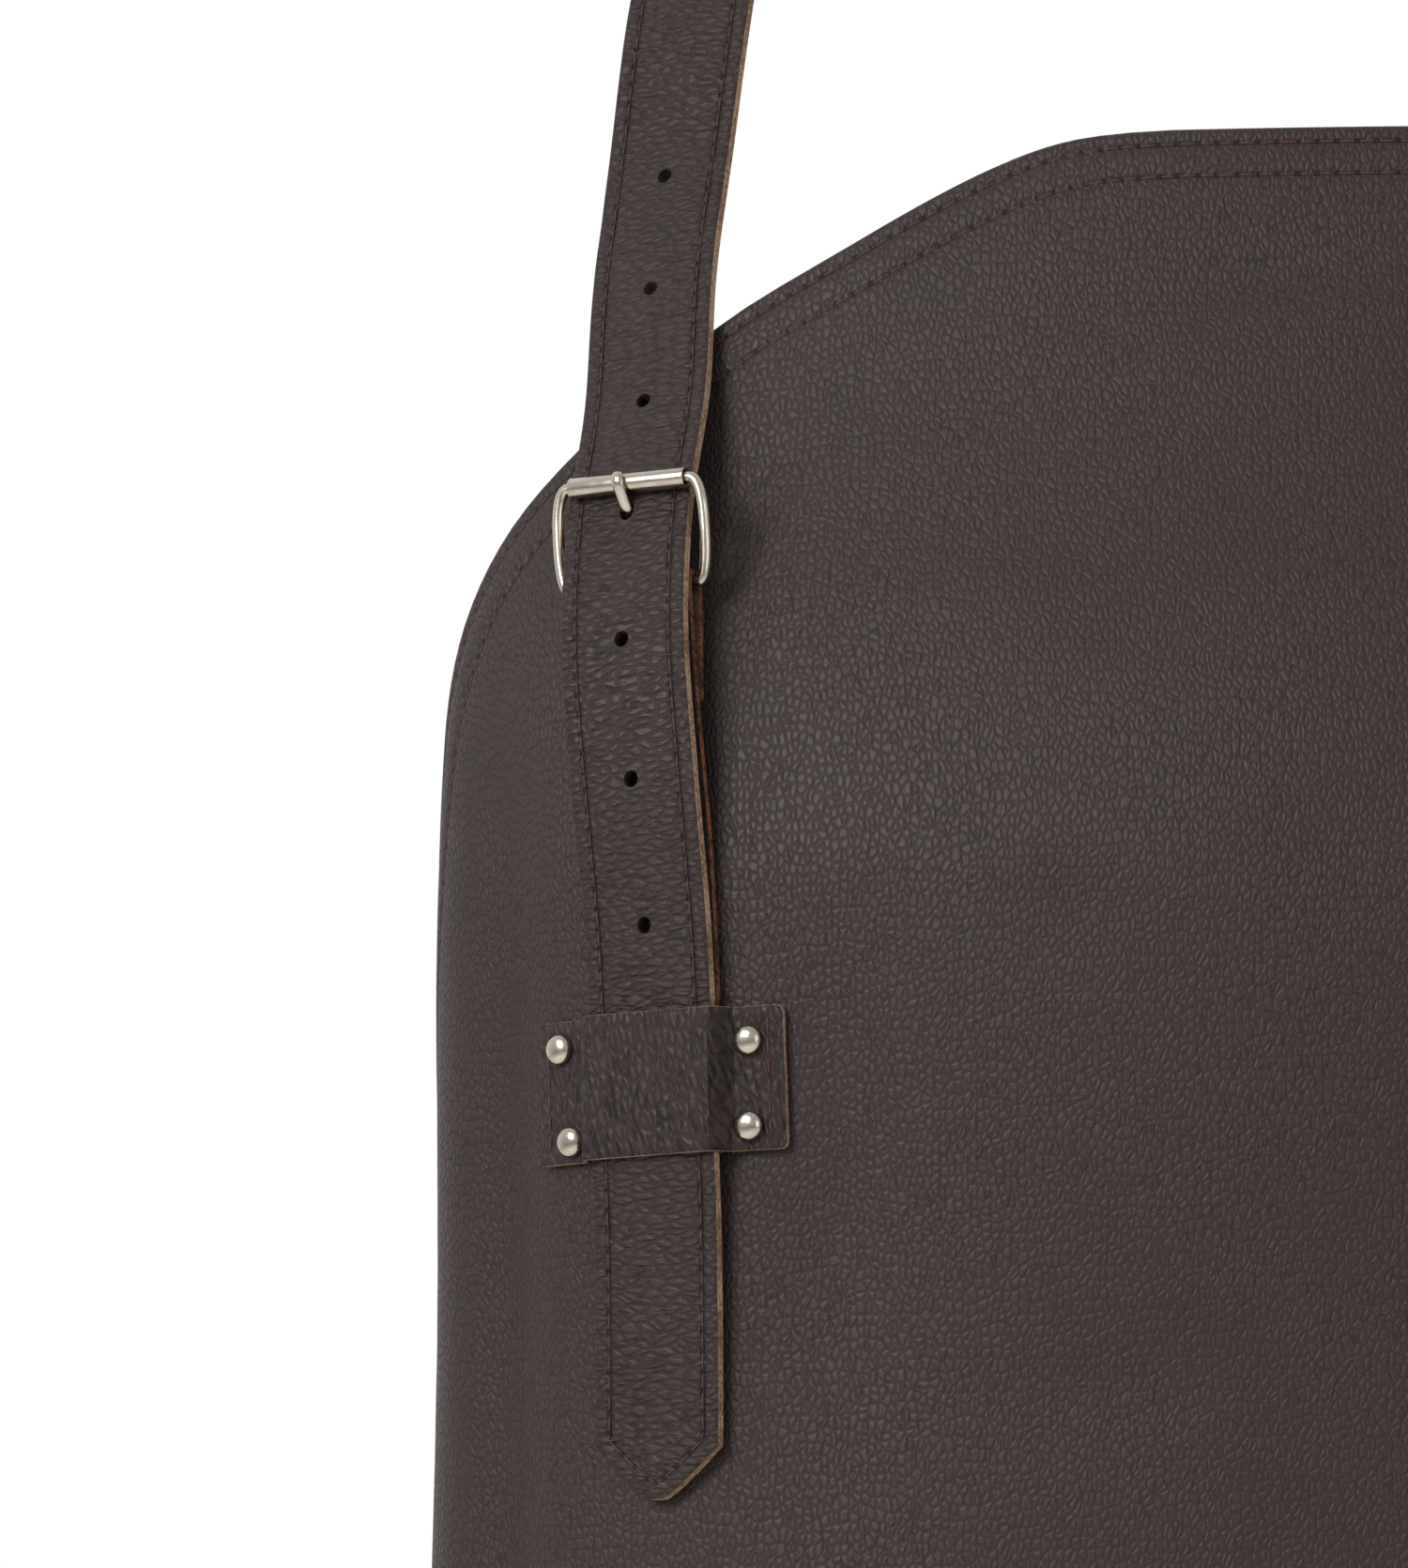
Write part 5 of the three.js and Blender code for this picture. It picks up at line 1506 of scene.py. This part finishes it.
@dataclass(frozen=True)
class RollerBuckle:
    """Nickelled wire frame with a roller on its upper bar and a tongue on its heel bar."""

    run: StrapRun
    side: Side
    length: float = 24.6
    half_width: float = 19.6
    heel_half: float = 17.0
    roller_half: float = 15.5
    roller_ease: float = 0.5
    roller_aside: float = 1.3
    heel_aside: float = -0.5
    skew: float = 8.0
    squareness: float = 2.5
    roller_lead: float = 0.23
    roller_wall: float = 0.8
    roller_radius: float = 2.42
    tongue_width: float = 3.1
    tongue_thickness: float = 1.8
    tongue_lean: float = 1.4
    curl: int = 210
    frame_steps: int = 18
    through: Table = Table(
        ("up", "out"), ((-1.6, -1.0), (-0.55, -0.75), (-0.05, 0.0), (0.2, 0.75))
    )
    over: tuple[float, ...] = (-78.0, -40.0, -8.0, 12.0)

    def places(self, route: Route) -> BucklePlaces:
        """Finds the bars from the hole that the tongue is in."""
        run = self.run
        hole = route.distance_of_row(run.tongue_hole_row)
        stand = run.thickness / 2 + run.gap + run.wire / 2 + run.gap + self.roller_wall
        roller_distance = hole + self.length * self.roller_lead
        at_roller = route.station(roller_distance)
        roller = at_roller[0] + stand * at_roller[2] + self.roller_aside * at_roller[3]
        below = run.wire / 2 + 2 * run.gap + self.tongue_thickness + run.thickness / 2
        drop = math.sqrt(self.length**2 - (below + stand) ** 2)
        at_heel = route.station(roller_distance - drop)
        heel = at_heel[0] - below * at_heel[2] + self.heel_aside * at_heel[3]
        out = unit(np.cross(at_heel[3], roller - heel))
        bars = (self.askew(at_roller), self.askew(at_heel))
        return BucklePlaces(hole, roller, heel, at_roller, at_heel, *bars, out)

    def askew(self, station: tuple[np.ndarray, ...]) -> np.ndarray:
        """Direction of a bar that hangs askew on the strap and lies level with it."""
        skew = math.radians(self.skew)
        return station[3] * math.cos(skew) - station[1] * math.sin(skew)

    def frame(self, places: BucklePlaces) -> bpy.types.Object:
        """Bends the wire frame: two straight bars joined by bulging side bars."""
        roller_end = self.roller_half + self.roller_ease
        power = 2 / self.squareness
        spots = []
        for turn in (1, -1):
            angle = np.linspace(0.0, math.pi, self.frame_steps + 1)
            up = turn * np.sign(np.cos(angle)) * np.abs(np.cos(angle)) ** power
            share = (1 + up[:, None]) / 2
            straight = self.heel_half + share[:, 0] * (roller_end - self.heel_half)
            across = straight + (self.half_width - straight) * np.abs(np.sin(angle)) ** power
            bar = places.heel_bar + share * (places.roller_bar - places.heel_bar)
            middle = places.heel + share * (places.roller - places.heel)
            spots.append(middle + turn * across[:, None] * bar)
        path = np.vstack(spots)
        ahead = unit(np.roll(path, -1, axis=0) - np.roll(path, 1, axis=0))
        radius = self.run.wire / 2
        rings = [(spot, np.cross(go, places.out), places.out) for spot, go in zip(path, ahead)]
        return bridged_tube(
            f"buckle_frame_{self.side.value}_wire", rings, [(radius, radius)] * len(rings), 14, True
        )

    def roller(self, places: BucklePlaces) -> bpy.types.Object:
        """Rolls the tube that turns on the upper bar."""
        half = self.roller_half
        deselect_all()
        bpy.ops.mesh.primitive_cylinder_add(
            vertices=36,
            radius=self.roller_radius * MM,
            depth=2 * half * MM,
            end_fill_type="NOTHING",
            location=Vector(places.roller * MM),
            rotation=Vector(places.roller_bar).to_track_quat("Z", "Y").to_euler(),
        )
        made = bpy.context.object
        made.name = f"buckle_roller_{self.side.value}_tube"
        made.data.name = made.name
        bpy.ops.object.transform_apply(location=True, rotation=True, scale=True)
        wall = made.modifiers.new("wall", "SOLIDIFY")
        wall.thickness = self.roller_wall * 0.9 * MM
        bpy.ops.object.modifier_apply(modifier=wall.name)
        soft = made.modifiers.new("soft", "BEVEL")
        soft.width = 0.16 * MM
        soft.segments = 3
        soft.limit_method = "ANGLE"
        soft.angle_limit = math.radians(60)
        bpy.ops.object.modifier_apply(modifier=soft.name)
        return made

    def tongue(self, route: Route, places: BucklePlaces) -> bpy.types.Object:
        """Bends the pin round the heel bar, through the hole and over the roller."""
        half = self.tongue_thickness / 2
        eye = self.run.wire / 2 + self.run.gap + half
        out = places.at_heel[2]
        onward = np.cross(out, places.heel_bar)
        spots = []
        for degrees in range(-self.curl, 1, 15):
            angle = math.radians(degrees)
            spots.append(places.heel + eye * (out * math.cos(angle) + onward * math.sin(angle)))
        lie = self.run.thickness / 2 + self.run.gap + half
        for up, stand in self.through.rows:
            at, _, outward, _ = route.station(places.hole + up * self.run.thickness)
            spots.append(at + stand * lie * outward)
        top = self.roller_radius + half
        for degrees in self.over:
            angle = math.radians(degrees)
            spots.append(
                places.roller
                + top * math.cos(angle) * places.at_roller[2]
                + top * math.sin(angle) * places.at_roller[1]
                - self.tongue_lean * places.roller_bar
            )
        line = Route(spots, [places.heel_bar] * len(spots))
        distance = np.linspace(0.0, line.length, 44)
        at, ahead, _, _ = line.stations(distance)
        bar = places.heel_bar
        rings = [(spot, bar, unit(np.cross(bar, go))) for spot, go in zip(at, ahead)]
        size = (self.tongue_width / 2, half)
        radii = [size] * (len(rings) - 2) + [(0.96 * size[0], 0.92 * size[1])]
        radii.append((0.78 * size[0], 0.62 * size[1]))
        return bridged_tube(f"buckle_tongue_{self.side.value}_pin", rings, radii, 14, False)

    def build(self, finishes: Finishes, route: Route, places: BucklePlaces) -> None:
        """Builds and dresses the frame, roller and tongue."""
        name = self.side.value
        parts = {
            f"buckle_frame_{name}": self.frame(places),
            f"buckle_roller_{name}": self.roller(places),
            f"buckle_tongue_{name}": self.tongue(route, places),
        }
        for node, piece in parts.items():
            take_hold(piece)
            bpy.ops.object.shade_smooth_by_angle(angle=math.radians(50))
            mirror_to(piece, self.side)
            dress(piece, finishes.nickel)
            settle(piece, "nickel", node)


@dataclass(frozen=True)
class KeeperPatch:
    """Leather patch that bridges the strap, and its four riveted corners."""

    run: StrapRun
    side: Side
    leather: float = 2.0
    half_width: float = 32.4
    height: float = PATCH_HEIGHT
    drop: float = PATCH_DROP
    aside: float = -0.8
    turn: float = 1.7
    ramp: float = 3.5
    ease: float = 0.5
    corner: float = 1.6
    rivets: Table = Table(
        ("across", "down"), ((-25.1, -10.1), (24.1, -8.7), (-22.5, 11.6), (23.7, 11.0))
    )
    stitch_inset: float = 3.6
    stitch_pitch: float = STITCH_PITCH

    def place(self, across: np.ndarray, down: np.ndarray) -> tuple[np.ndarray, np.ndarray]:
        """Distances beside the strap's middle and below the bib top on the turned patch."""
        turn = math.radians(self.turn)
        aside = self.aside + across * math.cos(turn) + down * math.sin(turn)
        return aside, self.drop + down * math.cos(turn) - across * math.sin(turn)

    def surface(self, across: np.ndarray, down: np.ndarray, stand: np.ndarray) -> np.ndarray:
        """Points over the patch's underside: flat over the strap, then down a ramp to the bib.

        Args:
            across: Distances along the patch from its middle.
            down: Distances below the patch's middle.
            stand: Distances outside the underside.

        Returns:
            One point in the frame for each.
        """
        run, form = self.run, self.run.form
        across, down, stand = np.broadcast_arrays(across, down, np.asarray(stand, float))
        centre = float(run.front_girth(self.drop))
        aside, drop = self.place(across, down)
        girth = centre + aside
        at = form.table_height(drop)
        middle = form.points(np.full(girth.shape, centre), at)
        out = form.normals(np.full(girth.shape, centre), at)
        stack = run.thickness + run.chape_thickness + 2 * run.gap + self.ease
        body = form.points(girth, at)
        offset = body - middle
        high = body - out * np.sum(offset * out, axis=-1, keepdims=True)
        high = high + out * (stack + stand)[..., None]
        rise = form.fold_rise(girth, at) + self.ease + stand
        low = body + form.normals(girth, at) * rise[..., None]
        beyond = smoothstep((np.abs(aside) - run.width / 2 - run.gap) / self.ramp)[..., None]
        return high + (low - high) * beyond

    def build(self, finishes: Finishes) -> None:
        """Builds and dresses the patch and its two short rows of stitches."""
        name = self.side.value
        across = np.linspace(-self.half_width, self.half_width, 61)
        down = np.linspace(-self.height / 2, self.height / 2, 29)
        grid_across, grid_down = np.meshgrid(across, down)
        over = np.maximum(np.abs(grid_across) - (self.half_width - self.corner), 0.0)
        past = np.maximum(np.abs(grid_down) - (self.height / 2 - self.corner), 0.0)
        reach = np.maximum(np.hypot(over, past), 1e-9)
        pull = np.where((over > 0) & (past > 0), np.maximum(over, past) / reach, 1.0)
        grid_across = grid_across - np.sign(grid_across) * over * (1 - pull)
        grid_down = grid_down - np.sign(grid_down) * past * (1 - pull)
        flat = np.stack([grid_across, grid_down], axis=-1)
        edge = np.minimum(
            self.half_width - np.abs(grid_across), self.height / 2 - np.abs(grid_down)
        )
        soft = 0.3 * np.clip(1 - edge / 1.0, 0.0, 1.0) ** 2
        pucker = 0.22 * np.sin(grid_across / 2.3 + grid_down / 9 + np.sin(grid_down / 5)) * np.clip(
            1.2 - np.abs(grid_across) / 17, 0.0, 1.0
        )
        outer = self.surface(grid_across, grid_down, self.leather - soft + pucker)
        inner = self.surface(grid_across, grid_down, np.zeros(edge.shape))
        seam = np.full(flat.shape, 50.0)
        cut = CutLeather(
            f"keeper_patch_{name}_leather", outer, inner, flat, seam, side=self.side
        )
        patch = cut.build()
        dress(patch, finishes.patch_grain, finishes.flesh, finishes.raw)
        take_hold(patch)
        bpy.ops.object.shade_smooth_by_angle(angle=math.radians(48))
        settle(patch, "strap_leather", f"keeper_patch_{name}")
        places: list[np.ndarray] = []
        outs: list[np.ndarray] = []
        for turn in (-1, 1):
            rows = np.arange(-self.height / 2 + 2.2, self.height / 2 - 2.0, self.stitch_pitch)
            column = np.full(rows.shape, turn * (self.half_width - self.stitch_inset))
            spots = self.surface(column, rows, np.full(rows.shape, self.leather + 0.02))
            places += [spots, np.full((1, 3), np.nan)]
            outs += [self.facing(column, rows), np.zeros((1, 3))]
        row = Stitching(thread=0.6).build(
            f"patch_stitching_{name}", np.vstack(places), np.vstack(outs), self.side
        )
        dress(row, finishes.thread)
        settle(row, "strap_leather")

    def rivet_seats(self) -> list[tuple[np.ndarray, np.ndarray]]:
        """Seats of the four rivets, each with its outward direction."""
        across, down = np.array(self.rivets.rows).T
        spots = self.surface(across, down, np.full(across.shape, self.leather + 0.05))
        return list(zip(spots, self.facing(across, down)))

    def facing(self, across: np.ndarray, down: np.ndarray) -> np.ndarray:
        """Outward directions of the bib under places of the patch."""
        aside, drop = self.place(across, down)
        girth = float(self.run.front_girth(self.drop)) + aside
        return self.run.form.normals(girth, self.run.form.table_height(drop))


@dataclass(frozen=True)
class RivetCap:
    """Domed nickelled cap, spun over at its rim."""

    radius: float = 3.6
    # Steps of the dome: rise, and share of the radius that is left
    dome: tuple[tuple[float, float], ...] = (
        (0.4, 1.0), (0.5, 0.98), (0.6, 0.9), (0.45, 0.76), (0.32, 0.58), (0.2, 0.38), (0.08, 0.18),
    )

    def model(self) -> bpy.types.Object:
        """Draws up a disc step by step to the domed cap, once, at the origin."""
        deselect_all()
        bpy.ops.mesh.primitive_circle_add(
            vertices=32, radius=self.radius * 0.95 * MM, fill_type="NGON"
        )
        made = bpy.context.object
        bpy.ops.object.mode_set(mode="EDIT")
        bpy.ops.mesh.select_all(action="SELECT")
        share = 0.95
        for rise, left in self.dome:
            bpy.ops.mesh.extrude_region_move(
                TRANSFORM_OT_translate={"value": (0.0, 0.0, rise * MM)}
            )
            bpy.ops.transform.resize(value=(left / share, left / share, 1.0))
            share = left
        bpy.ops.mesh.select_all(action="SELECT")
        bpy.ops.mesh.normals_make_consistent(inside=False)
        bpy.ops.object.mode_set(mode="OBJECT")
        bpy.ops.object.shade_smooth_by_angle(angle=math.radians(60))
        return made

    def place(
        self,
        model: bpy.types.Object,
        name: str,
        seat: tuple[np.ndarray, np.ndarray],
        side: Side,
        finishes: Finishes,
    ) -> None:
        """Copies the cap to a seat on the leather, with a mesh of its own."""
        made = bpy.data.objects.new(f"{name}_cap", model.data.copy())
        made.data.name = made.name
        bpy.context.scene.collection.objects.link(made)
        spot, out = seat
        turn = Vector(out).to_track_quat("Z", "Y").to_matrix().to_4x4()
        made.data.transform(Matrix.Translation(Vector(spot * MM)) @ turn)
        mirror_to(made, side)
        dress(made, finishes.nickel)
        settle(made, "nickel", name)


@dataclass(frozen=True)
class StrapSide:
    """Everything on one side of the apron: strap, buckle, keeper patch and rivets."""

    run: StrapRun
    side: Side
    lift: float
    end_inset: float = 14.0
    ease: float = 0.35

    def build(self, finishes: Finishes, cap: RivetCap, model: bpy.types.Object) -> None:
        """Builds the side from the strap's route."""
        name = self.side.value
        route = self.run.route(self.lift)
        buckle = RollerBuckle(self.run, self.side)
        places = buckle.places(route)
        buckle.build(finishes, route, places)
        patch = KeeperPatch(self.run, self.side)
        patch.build(finishes)
        BuckleStrap(self.run, self.side).build(finishes, places)
        ShoulderStrap(self.run, self.side, self.lift).build(finishes, route)
        for number, seat in enumerate(patch.rivet_seats(), 1):
            cap.place(model, f"keeper_rivet_{name}_{number}", seat, self.side, finishes)
        at, _, out, aside = route.station(route.length - self.end_inset)
        for number, share in enumerate((-0.25, 0.25), 1):
            spot = at + share * self.run.width * aside
            spot = spot + (self.run.thickness / 2 + self.ease) * out
            cap.place(model, f"back_rivet_{name}_{number}", (spot, out), self.side, finishes)


@dataclass(frozen=True)
class Studio:
    """Photograph's camera, a pale floor and soft light."""

    target: tuple[float, float, float] = (-157.9, -136.0, -234.2)
    azimuth: float = 3.6
    elevation: float = -6.5
    distance: float = 2500.0
    lens: float = 247.8
    floor_height: float = -1420.0

    def camera(self) -> None:
        """Sets up the camera at the photograph's viewing angle."""
        turn, tilt = math.radians(self.azimuth), math.radians(self.elevation)
        back = Vector((
            math.sin(turn) * math.cos(tilt), -math.cos(turn) * math.cos(tilt), math.sin(tilt)
        ))
        data = bpy.data.cameras.new("camera")
        data.sensor_width = 36.0
        data.lens = self.lens
        data.clip_end = 100.0
        made = bpy.data.objects.new("camera", data)
        bpy.context.scene.collection.objects.link(made)
        made.location = (Vector(self.target) + back * self.distance) * MM
        made.rotation_mode = "QUATERNION"
        made.rotation_quaternion = (-back).to_track_quat("-Z", "Y")
        bpy.context.scene.camera = made

    def floor(self) -> None:
        """Lays the pale floor well below the hanging apron."""
        deselect_all()
        bpy.ops.mesh.primitive_plane_add(size=12.0, location=(0.0, 0.0, self.floor_height * MM))
        made = bpy.context.object
        made.name = "studio_floor"
        material, tree = new_material("matt_pale_floor")
        place = add_node(tree, "TexCoord", {}, {}, "Object")
        speck = add_node(tree, "TexNoise", {}, {"Vector": place, "Scale": 3.0})
        mix = {0: speck, 6: linear_colour("#e6e4e0"), 7: linear_colour("#eceae7")}
        colour = add_node(tree, "Mix", COLOURS, mix)
        close_material(material, {"Base Color": colour, "Roughness": 0.9})
        dress(made, material)

    def lamp(
        self, name: str, place: tuple[float, float, float], size: float, power: float
    ) -> None:
        """Hangs a soft square lamp that looks at the bib."""
        data = bpy.data.lights.new(name, "AREA")
        data.size = size
        data.energy = power
        made = bpy.data.objects.new(name, data)
        bpy.context.scene.collection.objects.link(made)
        made.location = place
        aim = Vector((-0.05, -0.1, -0.3)) - Vector(place)
        made.rotation_mode = "QUATERNION"
        made.rotation_quaternion = aim.to_track_quat("-Z", "Y")

    def world(self) -> None:
        """Surrounds the object with white, dimmer in front and dark low down in front."""
        made = bpy.data.worlds.new("studio_white")
        bpy.context.scene.world = made
        made.use_nodes = True
        tree = made.node_tree
        tree.nodes.clear()
        way = add_node(tree, "TexCoord", {}, {}, "Generated")
        depth = add_node(tree, "SeparateXYZ", {}, {0: way}, "Y")
        height = add_node(tree, "SeparateXYZ", {}, {0: way}, "Z")
        front = add_node(tree, "MapRange", EASED, {0: height, 1: -0.45, 2: 0.3, 3: 0.1, 4: 0.62})
        bright = add_node(tree, "MapRange", EASED, {0: depth, 1: -0.5, 2: 0.4, 3: front, 4: 1.02})
        white = (1.0, 1.0, 1.0, 1.0)
        sky = add_node(tree, "Background", {}, {"Color": white, "Strength": bright})
        add_node(tree, "OutputWorld", {}, {0: sky})

    def build(self) -> None:
        """Builds the whole studio."""
        bpy.context.scene.view_settings.view_transform = "Standard"
        self.camera()
        self.floor()
        self.world()
        self.lamp("key_lamp", (-1.7, -1.9, 0.9), 1.1, 72.0)
        self.lamp("fill_lamp", (1.6, -2.4, 0.2), 1.6, 12.0)


def main() -> None:
    """Builds the apron on its frame, piece by piece."""
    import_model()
    Studio().build()
    finishes = Finishes()
    form = BodyForm()
    run = StrapRun(form)
    cap = RivetCap()
    model = cap.model()
    for side, lift in ((Side.RIGHT, 0.0), (Side.LEFT, run.thickness + 2 * run.gap)):
        StrapSide(run, side, lift).build(finishes, cap, model)
    bpy.data.objects.remove(model, do_unlink=True)
    ApronPanel(form).build(finishes)


if __name__ == "__main__":
    main()
